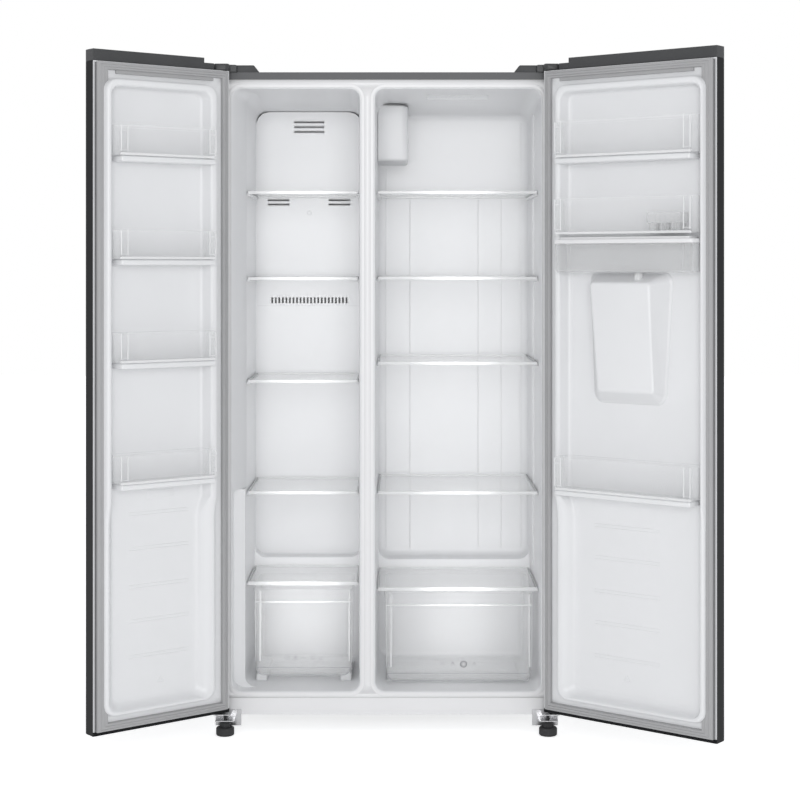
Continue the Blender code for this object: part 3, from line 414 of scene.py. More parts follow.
# The painted shadow ring at the bead's outer foot, as pairs of inset and depth.
BEAD_SHADOW_PROFILE = ((-0.0129, -0.0001), (-0.012, -0.0001), (-0.012, 0.0006), (-0.0129, 0.0006))
FOLD_PROFILE = ((0.0, 0.0061), (0.0, 0.0041), (0.0007, 0.0033), (0.002, 0.0033), (0.0026, 0.0041),
                (0.0026, 0.0061))
FOOT_ROUND, STEP_ROUND, BACK_ROUND = 0.014, 0.0045, 0.018
SHEET = 0.0015


def cavity_ring(room, y, low=OPEN_LOW, inset=0.0):
    """The outline of one compartment at depth y, seen from the front, with the freezer's lower left step."""
    o0, o1 = OPENING[room]
    w0, w1 = WALL[room]
    t = min(y / MOUTH, 1)
    if room == "freezer":
        upper = o0 + (w0 - o0) * min(y / FLARE, 1)
        lower = o0 if y < MOUTH else w0
    else:
        upper = lower = o0 + (w0 - o0) * t
    right = o1 + (w1 - o1) * t
    high = OPEN_HIGH - FALL * y - inset
    upper, lower, right, low = upper + inset, lower + inset, right - inset, low + inset
    radius = max(CORNER + 0.007 * min(y / FLARE, 1) - inset, 0.004)
    count = 7
    points = []
    for k, (x, z, sx, sz) in enumerate(((lower, low, 1, 1), (right, low, -1, 1), (right, high, -1, -1),
                                        (upper, high, 1, -1))):
        points += [(x + sx * radius + dx, y, z + sz * radius + dz)
                   for dx, dz in arc(count, radius, math.pi + k * math.pi / 2)]
    middle = PAD_TOP
    points += [(upper, y, middle + 0.0014), (lower, y, middle - 0.0014)]
    return points


def compartment(room):
    """The lining of one compartment, with the step at its foot over the machine room."""
    depth, height = STEP[room]
    lip = 0.003
    rings = [[(x, 0.0, z) for x, _, z in cavity_ring(room, 0.0, inset=-lip)]]
    rings.append([(x, 0.0008, z) for x, _, z in cavity_ring(room, 0.0, inset=-lip * 0.3)])
    for y in (0.003, 0.02, MOUTH - 0.0012, MOUTH + 0.0002, MOUTH + 0.006, FLARE, FLARE + 0.01,
              0.18, 0.27, depth - 0.022):
        rings.append(cavity_ring(room, y))
    for gone, rise in SOFT_STEPS[::-1]:
        rings.append(cavity_ring(room, depth - FOOT_ROUND * rise, low=OPEN_LOW + FOOT_ROUND * gone))
    for gone, rise in SOFT_STEPS:
        y = depth + 0.0004 + STEP_ROUND * rise
        rings.append(cavity_ring(room, y, low=height - STEP_ROUND * gone))
    for gone, rise in SOFT_STEPS[::-1]:
        y = LINER_BACK - BACK_ROUND * rise
        rings.append(cavity_ring(room, y, low=height, inset=BACK_ROUND * gone))
    form = Form()
    form.rings(rings, first=False)
    form.object(room + "_liner_moulding", "cabinet", "white_liner", WHITE, [room + "_liner"],
                facing=Vector((0, -1, 0)), thick=SHEET, smooth=50)


for room in SIDE:
    compartment(room)


def shelf_ledges(room):
    """Moulded ledges that carry the shelves, with their soft shoulders."""
    w0, w1 = WALL[room]
    form = Form()
    levels = [(top, 0.385 if room == "freezer" else 0.455) for top in SHELF_TOPS[room]]
    levels.append((COVER_TOP[room], 0.33 if room == "freezer" else 0.385))
    for top, rear in levels:
        z1 = top - 0.0056
        for x0, x1 in ((w0 - 0.001, w0 + 0.0085), (w1 - 0.0085, w1 + 0.001)):
            form.bar(x0, x1, z1 - 0.007, z1, 0.106, rear, 0.002, 0.003)
    x0, x1 = DRAWER_X[room]
    rail = DRAWER_Z[room][0] - 0.0004
    for x in (x0 + 0.006, x1 - 0.036):
        form.slab(x, x + 0.03, 0.12, 0.33, OPEN_LOW - 0.001, rail, 0.004, 0.004)
    form.object(room + "_liner_ledges", "cabinet", "white_liner", WHITE)


SHELF_TOPS = {"freezer": (1.439, 1.206, 0.928, 0.627), "fridge": (1.439, 1.207, 0.977, 0.627)}
SHELF_X = {"freezer": (-0.377, -0.0785), "fridge": (-0.025, 0.4065)}
SHELF_FRONT = {"freezer": 0.09, "fridge": 0.085}
SHELF_REAR = {"freezer": 0.405, "fridge": 0.478}
COVER_TOP = {"freezer": 0.382, "fridge": 0.367}
DRAWER_X = {"freezer": (-0.362, -0.091), "fridge": (-0.008, 0.3957)}
DRAWER_Y = {"freezer": (0.088, 0.345), "fridge": (0.085, 0.4)}
DRAWER_Z = {"freezer": (0.127, 0.361), "fridge": (0.1115, 0.3525)}
for room in SIDE:
    shelf_ledges(room)


def liner_beads():
    """Upright beads moulded into the refrigerator's back wall, and one on each compartment's outer wall."""
    form = Form()
    for x, low, high, half in BACK_BEADS:
        form.bar(x - half, x + half, low, high, LINER_BACK - 0.0022, LINER_BACK + 0.0006, 0.0008, 0.0008)
    wall = WALL["fridge"][1]
    form.slab(0.258, 0.263, 0.4, 1.66, wall - 0.0026, wall + 0.0006, 0.001, 0.001, way=along_x)
    form.object("fridge_liner_beads", "cabinet", "white_liner", WHITE)
    edge = Form()
    wall = WALL["freezer"][0]
    edge.slab(0.396, 0.4, 0.41, 1.66, wall - 0.0006, wall + 0.0024, 0.001, 0.001, way=along_x)
    edge.object("freezer_liner_bead", "cabinet", "white_liner", WHITE)


liner_beads()


def damper_housing():
    """The air damper's moulded box in the refrigerator's upper left corner."""
    (x0, x1), (y0, y1), (z0, _) = extent("damper_housing")
    radii = (0.004, 0.02, 0.002, 0.002)

    def ceiling(x, y, drop):
        return OPEN_HIGH - FALL * y - drop - 0.05 * max(0, x - x0 - 0.02)

    rings = []
    for inset, z in ((0.01, z0), (0.004, z0 + 0.0012), (0.001, z0 + 0.004), (0.0, z0 + 0.009), (0.0, 1.64)):
        rings.append([(x, y, z) for x, y in loop(x0, x1 - inset, y0 + inset, y1, radii, 7)])
    for inset, drop in ((0.0, 0.0106), (0.0012, 0.0046), (0.005, 0.0016), (0.01, 0.0006)):
        rings.append([(x, y, ceiling(x, y, drop)) for x, y in loop(x0, x1 - inset, y0 + inset, y1, radii, 7)])
    form = Form()
    form.rings(rings)
    form.object("damper_housing_moulding", "cabinet", "white_liner", HOUSING_WHITE, ["damper_housing"],
                smooth=50)
    # Painted shade: a dark band round the box just under the ceiling stands in for its shadow line there, and
    # dark slabs on its side stand in for the shade inside the outlet's slots.
    line = Form()
    outline = loop(x0, x1 + 0.0006, y0 - 0.0006, y1, radii, 7)
    line.rings([[(x, y, ceiling(x, y, drop)) for x, y in outline] for drop in (0.0051, 0.0035)])
    line.object("damper_housing_shadow_line", "cabinet", "dark_plastic", SHADE_GREY_PAINT)
    vent = Form()
    for k in range(5):
        z = z0 + 0.03 + 0.008 * k
        vent.slab(y0 + 0.05, y0 + 0.16, z, z + 0.003, x1 - 0.001, x1 + 0.0006, 0.001, 0.0004, way=along_x)
    vent.object("damper_housing_outlet", "cabinet", "dark_plastic", SHADE_GREY_PAINT)


damper_housing()


def duct_cover_details():
    """Raised rims round the air slots, a screw cap, and the cover's seam line."""
    (x0, x1), (face, _), _ = extent("freezer_duct_cover")
    rims = Form()

    def rim(a, b, low, high):
        rims.rings([[(x, face + y, z) for x, z in loop(a - d, b + d, low - d, high + d, 0.0012 + d, 3)]
                    for d, y in SLOT_RIM], around=True)

    for k in range(3):
        rim(-0.2695, -0.184, 1.6485 - 0.014 * k, 1.653 - 0.014 * k)
    for x in (-0.3456, -0.17):
        for k in range(2):
            rim(x, x + 0.061, 1.4235 - 0.0124 * k, 1.428 - 0.0124 * k)
    x, z = SCREW_CAP
    rims.torus((x, face - 0.0004, z), (0, 1, 0), 0.0062, 0.0009)
    rims.rod((x, face + 0.001, z), (x, face - 0.0012, z), 0.0045, 16, 0.0005)
    rims.object("freezer_duct_cover_rims", "cabinet", "white_liner", WHITE)
    seam = Form()
    seam.bar(x0 + 0.004, x1 - 0.004, 1.1208, 1.1216, face - 0.0001, face + 0.0006, 0.0002, 0.0002)
    seam.object("freezer_duct_cover_seam", "cabinet", "white_liner", PALE_SEAM)


duct_cover_details()


def frame_border(name, profile, material):
    """A strip of one profile round both openings; the profile's pairs are inset and depth."""
    face = extent("face_frame")[1][0]
    form = Form()
    for room in SIDE:
        form.rings([[(x, face + y, z) for x, _, z in cavity_ring(room, 0.0, inset=inset)]
                    for inset, y in profile], around=True)
    form.object(name, "cabinet", "white_frame", material)


def face_frame():
    """The white frame round both openings, with a soft bead along each opening's edge and a fine grey ring at
    the bead's outer foot, painted shade for the bead's shadow.
    """
    (x0, x1), (face, _), (z0, z1) = extent("face_frame")
    form = Form()
    bm = form.bm
    edges = []
    outlines = [[(x, face, z) for x, z in loop(x0, x1, z0, z1, 0.0008, 2)]]
    for room in SIDE:
        outlines.append([(x, face, z) for x, _, z in cavity_ring(room, 0.0, inset=-0.0034)])
    for outline in outlines:
        verts = [bm.verts.new(at(*p)) for p in outline]
        edges += [bm.edges.new((verts[i], verts[(i + 1) % len(verts)])) for i in range(len(verts))]
    bmesh.ops.triangle_fill(bm, use_beauty=True, use_dissolve=False, edges=edges)
    form.object("face_frame_panel", "cabinet", "white_frame", FRAME_WHITE, ["face_frame"],
                facing=Vector((0, -1, 0)), thick=0.0014)
    frame_border("face_frame_bead", BEAD_PROFILE, FRAME_WHITE)
    # Painted shade: the grey ring at the bead's outer foot stands in for the bead's shadow on the frame.
    frame_border("face_frame_bead_shadow_paint", BEAD_SHADOW_PROFILE, BEAD_SHADOW_PAINT)


face_frame()


def glass_board(node, across, front, rear, top, strip, side, start, back, radius):
    """A glass plate with a bright strip along its front and slim strips along its other edges.

    strip is the front strip's height and depth, side the side strips' width and height, start the gap in
    front of them, and back the rear strip's width and rise above the glass.
    """
    x0, x1 = across
    y0, y1 = front, rear
    plate = Form()
    plate.slab(x0 + 0.002, x1 - 0.002, y0 + 0.004, y1 - 0.002, top - 0.0044, top - 0.0004, radius, 0.0008)
    plate.object(node + "_glass", node, "glass", GLASS, [node])
    trim = Form()
    trim.bar(x0, x1, top - strip[0], top, y0, y0 + strip[1], 0.0022, 0.0015)
    trim.object(node + "_front_strip", node, "clear_plastic", TRIM)
    sides = Form()
    wide, deep = side
    for a, b in ((x0, x0 + wide), (x1 - wide, x1)):
        sides.bar(a, b, top - deep, top + 0.0001, y0 + start, y1, 0.001, 0.0012)
    sides.bar(x0 + 0.003, x1 - 0.003, top - deep, top + back[1], y1 - back[0], y1, 0.001, 0.0012)
    sides.object(node + "_side_strips", node, "clear_plastic", EDGE)
    rims = Form()
    for a in (x0 + 0.003, x1 - 0.004):
        rims.bar(a, a + 0.001, top - 0.0042, top + 0.0003, y0 + 0.011, y1 - 0.004, 0.0003, 0.0003)
    rims.object(node + "_ground_edges", node, "glass", GROUND)


def shelf(room, number):
    glass_board("%s_shelf_%d" % (room, number), SHELF_X[room], SHELF_FRONT[room], SHELF_REAR[room],
                SHELF_TOPS[room][number - 1], strip=(0.008, 0.01), side=(0.0032, 0.0052), start=0.01,
                back=(0.006, 0.0006), radius=0.008)


for room in SIDE:
    for number in (1, 2, 3, 4):
        shelf(room, number)


def drawer_cover(room):
    node = {"freezer": "freezer_drawer_cover", "fridge": "crisper_cover"}[room]
    across, (y0, y1), (low, _) = extent(node)
    top = COVER_TOP[room]
    glass_board(node, across, y0, y1, top, strip=(top - low, 0.007), side=(0.004, 0.0049), start=0.008,
                back=(0.008, 0.0), radius=0.006)


for room in SIDE:
    drawer_cover(room)


def drawer(room):
    """A clear drawer: tapered tub, grip rail, corner ribs and a deeper band at its foot."""
    node = {"freezer": "freezer_drawer", "fridge": "crisper_drawer"}[room]
    x0, x1 = DRAWER_X[room]
    y0, y1 = DRAWER_Y[room]
    z0, z1 = DRAWER_Z[room]
    tub = Form()
    tub.tub(x0 + 0.0015, x1 - 0.0015, y0 + 0.002, y1 - 0.002, z0, z1, 0.0026, 0.003, 0.022, edge=0.014,
            taper=0.005, rim=0.0015, front_lean=0.004)
    tub.object(node + "_tub", node, "clear_plastic", CLEAR, [node])
    trim = Form()
    grip = z1 - 0.033
    trim.bar(x0 + 0.006, x1 - 0.004, grip - 0.0018, grip + 0.0018, y0, y0 + 0.006, 0.0012, 0.001)
    for x, wide in ((x0 + 0.0165, 0.005), (x1 - 0.013, 0.0045), (x0 + 0.006, 0.0014),
                    (x1 - 0.0046, 0.0012)):
        trim.bar(x, x + wide, z0 + 0.04, z1 - 0.004, y0 + 0.0026, y0 + 0.0066, 0.0014, 0.001)
    trim.object(node + "_front_ribs", node, "clear_plastic", EDGE)
    # Painted shade: the fold along the drawer's foot is drawn grey for the dark line it shows.
    foot = Form()
    rings = []
    for d, y in FOLD_PROFILE:
        outline = loop(x0 + 0.0085 + d, x1 - 0.0075 - d, z0 + 0.0016 + d, z0 + 0.3, 0.02, 6)
        rings.append([(x, y0 + y, z) for x, z in outline if z < z0 + 0.12])
    foot.rings(rings, around=True)
    foot.object(node + "_foot_bead", node, "clear_plastic", FOLD_SHADE_PAINT)
    band = Form()
    band.bar(x0 + 0.012, x1 - 0.012, z0 + 0.006, z0 + 0.053, y0 + 0.0082, y0 + 0.0094, 0.014, 0.0005)
    band.object(node + "_foot_band", node, "clear_plastic", CLEAR)
    signs(room, node, y0 + 0.003)


def signs(room, node, face):
    """A row of small plain signs printed on the drawer's front."""
    form = Form()
    z = {"freezer": 0.176, "fridge": 0.16}[room]

    def dash(x0, z0, x1, z1):
        form.rod((x0, face, z0), (x1, face, z1), 0.0006, 6, 0.0001)

    if room == "freezer":
        form.torus((-0.27, face, z), (0, 1, 0), 0.0052, 0.0005, 18, 6)
        for dx in (-0.005, 0.0, 0.005):
            dash(-0.248 + dx, z - 0.005, -0.248 + dx * 0.3, z + 0.005)
        dash(-0.233, z - 0.003, -0.226, z + 0.004)
        dash(-0.226, z + 0.004, -0.219, z - 0.003)
        form.torus((-0.2, face, z + 0.001), (0, 1, 0), 0.0046, 0.0005, 18, 6)
        dash(-0.183, z - 0.004, -0.174, z + 0.004)
        dash(-0.183, z - 0.004, -0.174, z - 0.004)
    else:
        form.torus((0.207, face, z), (0, 1, 0), 0.0082, 0.0013, 22, 8)
        form.torus((0.207, face, z), (0, 1, 0), 0.005, 0.0005, 18, 6)
        for x in (0.15, 0.178, 0.236):
            dash(x - 0.0045, z - 0.003, x, z + 0.006)
            dash(x, z + 0.006, x + 0.0045, z - 0.003)
    form.object(node + "_signs", node, "clear_plastic", PRINT)


for room in SIDE:
    drawer(room)

# ---------------------------------------------------------------- doors
DOOR_WIDTH = {"freezer": 0.4, "fridge": 0.506}
FLANGE_V, FLOOR_V = 0.023, 0.017
RIM = {"freezer": (0.052, 0.3765), "fridge": (0.05, 0.482)}
RECESS = {"freezer": (0.075, 0.361), "fridge": (0.069, 0.4725)}
LOW_RECESS = {"freezer": (0.099, 0.347), "fridge": (0.093, 0.465)}
RIM_Z, RECESS_Z = (0.11, 1.705), (0.125, 1.685)
CHANGE = 0.622
CHANGE_LOW, CHANGE_HIGH = CHANGE - 0.03, CHANGE + 0.018
BINS = {"freezer": ((1.512, 1.588), (1.253, 1.326), (0.994, 1.069), (0.692, 0.764)),
        "fridge": ((1.515, 1.608), (1.317, 1.409), (0.66, 0.745))}
BIN_FACE = 0.088


def liner_ring(upper, lower, low, high, radius_low, radius_high, count=8):
    """A ring of the door lining: each side has its own u and v above and below the change of section."""
    (u0, u1, v), (l0, l1, w) = upper, lower
    corners = ((l0, low, 1, 1, radius_low, w), (l1, low, -1, 1, radius_low, w),
               (u1, high, -1, -1, radius_high, v), (u0, high, 1, -1, radius_high, v))
    middle = w * 0.5 + v * 0.5
    points = []
    for k, (u, z, su, sz, r, depth) in enumerate(corners):
        points += [(u + su * r + du, depth, z + sz * r + dz)
                   for du, dz in arc(count, r, math.pi + k * math.pi / 2)]
        if k == 1:
            points += [(l1, w, CHANGE_LOW), (l1 * 0.5 + u1 * 0.5, middle, CHANGE), (u1, v, CHANGE_HIGH)]
    points += [(u0, v, CHANGE_HIGH), (l0 * 0.5 + u0 * 0.5, middle, CHANGE), (l0, w, CHANGE_LOW)]
    return points


# Outlines of the dispenser housing: u, u, z, z, v, corner radius, and how far its two sides lean inwards.
BULGE_ROWS = (
    (0.138, 0.384, 0.884, 1.224, 0.0166, 0.03, 0.014, -0.02),
    (0.143, 0.379, 0.888, 1.219, 0.018, 0.028, 0.015, -0.02),
    (0.147, 0.374, 0.892, 1.215, 0.0225, 0.026, 0.016, -0.018),
    (0.165, 0.345, 0.914, 1.197, 0.061, 0.011, 0.021, 0.01),
    (0.1672, 0.342, 0.917, 1.195, 0.0652, 0.01, 0.022, 0.013),
    (0.17, 0.339, 0.921, 1.192, 0.0676, 0.009, 0.023, 0.014),
    (0.174, 0.334, 0.925, 1.188, 0.0683, 0.007, 0.023, 0.014))
SEAL_PROFILE = ((0.0, 0.0234), (0.0, 0.029), (0.03, 0.0322), (0.09, 0.034), (0.26, 0.0346), (0.31, 0.0332),
                (0.35, 0.0332), (0.41, 0.0345), (0.6, 0.0346), (0.66, 0.033), (0.7, 0.033), (0.76, 0.034),
                (0.92, 0.0334), (0.985, 0.031), (1.0, 0.0285), (1.0, 0.0234))
SEAL_WIDTH = {"hinge": 0.02, "free": 0.03, "foot": 0.02, "top": 0.019}
SEAL_CLEAR_U, SEAL_CLEAR_V = 0.0165, 0.0295
DISPENSER = (0.182, 0.326, 0.93, 1.18)
# The dispenser recess from its bezel to its back: v, inset and corner radius.
RECESS_ROWS = ((-0.024, -0.014, 0.012), (-0.0262, -0.0137, 0.012), (-0.0271, -0.0126, 0.011),
               (-0.0272, -0.004, 0.01), (-0.0266, -0.0012, 0.01), (-0.0245, 0.0004, 0.01),
               (0.0, 0.002, 0.011), (0.03, 0.0045, 0.012), (0.05, 0.008, 0.014), (0.057, 0.011, 0.015),
               (0.0588, 0.0145, 0.014), (0.0592, 0.02, 0.012))
CUP_PROFILE = ((0.0085, 0.0), (0.01, 0.001), (0.0118, 0.008), (0.0124, 0.0235), (0.0112, 0.0235),
               (0.0104, 0.009), (0.0085, 0.003), (0.006, 0.0022))
TAP_PROFILE = ((0.004, 1.1602), (0.0062, 1.1608), (0.0066, 1.164), (0.0066, 1.19), (0.0104, 1.1935),
               (0.0108, 1.198), (0.0108, 1.213), (0.0098, 1.215), (0.008, 1.219))


def bulge_ring(a, b, low, high, depth, radius, left, right, inset=0.0, v=None):
    """One outline of the dispenser housing; its left and right edges lean as they go down."""
    ring = []
    for u, z in loop(a + inset, b - inset, low + inset, high - inset, radius, 8):
        t = (high - z) / (high - low)
        f = (u - a) / (b - a)
        ring.append((u + t * (left * (1 - f) + right * f), depth if v is None else v, z))
    return ring


def door_lining(room):
    """The door's inner lining: flange, raised rim, deep recess for the bins and shallow lower panel."""
    width = DOOR_WIDTH[room]
    (r0, r1), (z0, z1) = RIM[room], RIM_Z
    (i0, i1), (j0, j1) = RECESS[room], RECESS_Z
    k0, k1 = LOW_RECESS[room]
    seam = 1.7487

    def edge(gap, v):
        return gap, width - gap, v

    def rim(left, right, v):
        return r0 + left, r1 - right, v

    def deep(left, right, v):
        return i0 + left, i1 - right, v

    def low(left, right, v):
        return k0 + left, k1 - right, v

    rows = [
        (edge(0.0004, 0.0218), edge(0.0004, 0.0218), 0.0744, seam, 0.001, 0.001),
        (edge(0.001, FLANGE_V), edge(0.001, FLANGE_V), 0.075, seam - 0.0006, 0.001, 0.001),
        (rim(-0.006, -0.006, FLANGE_V), rim(-0.006, -0.006, FLANGE_V), z0 - 0.006, z1 + 0.006, 0.036, 0.036),
        (rim(-0.0015, -0.0015, 0.0242), rim(-0.0015, -0.0015, 0.0242), z0 - 0.0015, z1 + 0.0015,
         0.032, 0.032),
        (rim(0.0, 0.0, 0.028), rim(0.0, 0.0, 0.0275), z0, z1, 0.03, 0.03),
        (rim(0.001, 0.001, 0.047), rim(0.0015, 0.0015, 0.0385), z0 + 0.001, z1 - 0.001, 0.03, 0.03),
        (rim(0.0026, 0.0026, 0.0512), rim(0.004, 0.004, 0.042), z0 + 0.003, z1 - 0.0026, 0.029, 0.029),
        (rim(0.006, 0.0052, 0.053), rim(0.009, 0.008, 0.0435), z0 + 0.006, z1 - 0.0055, 0.027, 0.027),
        (deep(-0.0052, -0.0046, 0.053), rim(0.018, 0.012, 0.0415), z0 + 0.01, j1 + 0.006, 0.026, 0.024),
        (deep(-0.0018, -0.0016, 0.0508), low(-0.013, -0.01, 0.032), j0 - 0.002, j1 + 0.0022, 0.026, 0.023),
        (deep(-0.0002, -0.0002, 0.0465), low(-0.006, -0.0045, 0.0235), j0 + 0.003, j1 + 0.0004, 0.026, 0.022),
        (deep(0.004, 0.0006, 0.023), low(-0.001, -0.001, 0.019), j0 + 0.008, j1 - 0.0004, 0.025, 0.021),
        (deep(0.0095, 0.003, 0.0188), low(0.005, 0.005, 0.0175), j0 + 0.014, j1 - 0.0026, 0.024, 0.019),
        (deep(0.0165, 0.009, FLOOR_V), low(0.013, 0.013, FLOOR_V), j0 + 0.022, j1 - 0.008, 0.022, 0.016),
    ]
    place = on_door(room)
    form = Form(place)
    made = form.rings([liner_ring(*row) for row in rows], first=False, last=room == "freezer")
    if room == "fridge":
        hole = [form.bm.verts.new(place(*p)) for p in bulge_ring(*BULGE_ROWS[1], inset=0.004, v=FLOOR_V)]
        edges = []
        for outline in (made[-1], hole):
            for one, two in zip(outline, outline[1:] + outline[:1]):
                edges.append(form.bm.edges.get((one, two)) or form.bm.edges.new((one, two)))
        bmesh.ops.triangle_fill(form.bm, use_beauty=True, use_dissolve=False, edges=edges)
    form.object(room + "_door_lining", room + "_door", "white_liner", WHITE, [room + "_door_liner"],
                facing=inward(place), thick=SHEET, smooth=55, flat_fill=True)


def door_gasket(room):
    """The magnetic seal: a soft profile, lower beside the hinge pin so that it clears the cabinet."""
    width = DOOR_WIDTH[room]
    node = room + "_door_gasket"
    door = room + "_door"
    low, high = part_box(node)
    u0, u1, z0, z1 = 0.0065, width - 0.008, low.z, high.z
    wide = SEAL_WIDTH
    form = Form(on_door(room))
    rings = []
    for t, v in SEAL_PROFILE:
        a, b = u0 + wide["hinge"] * t, u1 - wide["free"] * t
        c, d = z0 + wide["foot"] * t, z1 - wide["top"] * t
        bend = max(a, 0.018)
        rings.append([(u, min(v, SEAL_CLEAR_V) if u < SEAL_CLEAR_U else v, z)
                      for u, z in ((a, c), (bend, c), (b, c), (b, d), (bend, d), (a, d))])
    form.rings(rings, around=True)
    form.object(door + "_seal", door, "gasket_grey", GASKET, [node], smooth=50)

    def strip(name, slot, material, u_span, z_span, v_span, radius, edge):
        piece = Form(on_door(room))
        piece.bar(*u_span, *z_span, FLANGE_V + v_span[0], FLANGE_V + v_span[1], radius, edge)
        piece.object(door + name, door, slot, material)

    full = (z0 + 0.001, z1 - 0.001)
    strip("_seal_inner_lip", "gasket_grey", GASKET, (0.0265 + 0.026, u1 - 0.03 - 0.024),
          (z1 - 0.0275, z1 - 0.0185), (-0.0004, 0.0062), 0.001, 0.001)
    # Painted shadow: on the freezer door, a dark strip along the seal's inner edge on the free side stands in
    # for the shadow between the seal and the lining's rim.
    if room == "freezer":
        strip("_seal_valley", "gasket_grey", SEAL_SHADOW_PAINT, (RIM[room][1] + 0.0066, u1 - wide["free"] - 0.0004),
              (z0 + 0.03, z1 - 0.03), (-0.0004, 0.0005), 0.001, 0.0003)
    strip("_edge_lip", "plated_steel", LIP, (width - 0.0052, width - 0.0018), full, (-0.0006, 0.0026),
          0.0006, 0.0006)
    # Painted shadow: a dark strip between the seal and the edge lip stands in for the shade in the gap there.
    strip("_edge_gap_shadow", "dark_plastic", DARK, (width - 0.0084, width - 0.0054), full, (-0.0006, 0.0004),
          0.0004, 0.0002)


def door_bin(room, number):
    """A clear bin: tub with a bright rim, ribbed end bands and a ledge along its foot."""
    node = "%s_door_bin_%d" % (room, number)
    z0, z1 = BINS[room][number - 1]
    i0, i1 = RECESS[room]
    u0, u1 = i0 + 0.0018, i1 - 0.0018
    v0, v1 = FLOOR_V + 0.0006, BIN_FACE
    place = on_door(room)
    tub = Form(place)
    tub.tub(u0, u1, v0, v1 - 0.001, z0, z1, 0.0022, 0.0025, 0.012, edge=0.006, taper=0.0012, rim=0.0008)
    tub.object(node + "_tub", node, "clear_plastic", CLEAR, [node])
    # Painted highlight: the end ribs and the foot strip are drawn in the near-opaque white clear material for
    # their glints.
    bands = Form(place)
    for a, b in ((u0 + 0.003, u0 + 0.0054), (u0 + 0.021, u0 + 0.0234), (u1 - 0.0054, u1 - 0.003),
                 (u1 - 0.0234, u1 - 0.021)):
        bands.bar(a, b, z0 + 0.01, z1 - 0.001, v1 - 0.003, v1 + 0.0, 0.0008, 0.0006)
    for a, b in ((u0 + 0.001, u0 + 0.02), (u1 - 0.02, u1 - 0.001)):
        bands.bar(a, b, z0 + 0.012, z0 + 0.0135, v1 - 0.003, v1 - 0.0002, 0.0006, 0.0005)
        bands.bar(a, b, z1 - 0.016, z1 - 0.0145, v1 - 0.003, v1 - 0.0002, 0.0006, 0.0005)
    bands.object(node + "_end_ribs", node, "clear_plastic", EDGE)
    foot = Form(place)
    foot.bar(u0 + 0.004, u1 - 0.004, z0 + 0.0002, z0 + 0.0066, v1 - 0.01, v1 - 0.0012, 0.002, 0.0016)
    foot.object(node + "_foot", node, "clear_plastic", EDGE)
    if (room, number) != ("fridge", 2):
        ledge = Form(place)
        ledge.bar(u0 - 0.003, u1 - 0.01, z0 - 0.015, z0 - 0.0012, FLOOR_V - 0.001, v1 - 0.01, 0.004, 0.004)
        ledge.object(node + "_support", room + "_door", "white_liner", WHITE)


for room in SIDE:
    door_lining(room)
    door_gasket(room)
    for number in range(1, len(BINS[room]) + 1):
        door_bin(room, number)


def bulge():
    """The raised housing behind the dispenser, leaning as it tapers down."""
    place = on_door("fridge")
    form = Form(place)
    form.rings([bulge_ring(*row) for row in BULGE_ROWS], first=False)
    form.object("fridge_door_bulge", "fridge_door", "white_liner", WHITE,
                facing=inward(place), thick=0.0012, smooth=60)


def dispenser():
    """The recess in the door's outer face, with its bezel and drip grille."""
    place = on_door("fridge")
    u0, u1, z0, z1 = DISPENSER
    shell = Form(place)
    rings = []
    for v, inset, r in RECESS_ROWS:
        ring = []
        for u, z in loop(u0 + inset, u1 - inset, z0 + inset, z1 - inset, r, 8):
            lean = 0.014 * max(0, v) / 0.06 * (z1 - z) / (z1 - z0) * (u1 - u) / (u1 - u0)
            ring.append((u + lean, v, z))
        rings.append(ring)
    shell.rings(rings, first=False)
    shell.object("dispenser_recess", "fridge_door", "dark_plastic", DARK, ["dispenser_housing"],
                 facing=-inward(place), thick=0.0012, smooth=50)
    grille = Form(place)
    for k in range(9):
        v = -0.014 + 0.006 * k
        grille.slab(u0 + 0.018, u1 - 0.016, v, v + 0.0026, z0 + 0.0085, z0 + 0.0115, 0.001, 0.0006)
    grille.slab(u0 + 0.01, u1 - 0.008, -0.019, 0.042, z0 + 0.004, z0 + 0.0086, 0.006, 0.0012)
    grille.object("dispenser_drip_grille", "fridge_door", "dark_plastic", ENAMEL)


bulge()
dispenser()


def egg_tray():
    """A clear tray with six cups in two rows."""
    form = Form(on_door("fridge"))
    u0, u1, v0, v1, z0, z1 = 0.3355, 0.4295, 0.0235, 0.0755, 1.3198, 1.369
    form.tub(u0, u1, v0, v1, z0 + 0.022, z1, 0.0016, 0.0016, 0.008, edge=0.003, rim=0.0006)
    for i in range(3):
        for j in range(2):
            u = u0 + 0.0165 + 0.0305 * i
            v = v0 + 0.014 + 0.0245 * j
            form.rings([circle(u, v, z0 + rise, r, 20) for r, rise in CUP_PROFILE])
    form.object("egg_tray_cups", "egg_tray", "clear_plastic", EDGE_THIN, ["egg_tray"])


def tap():
    """The small valve under the tank, over the dispenser housing."""
    form = Form(on_door("fridge"))
    form.rings([circle(0.2985, 0.045, z, r, 24) for r, z in TAP_PROFILE])
    form.object("water_tap_valve", "water_tank", "clear_plastic", EDGE, ["water_tap"])


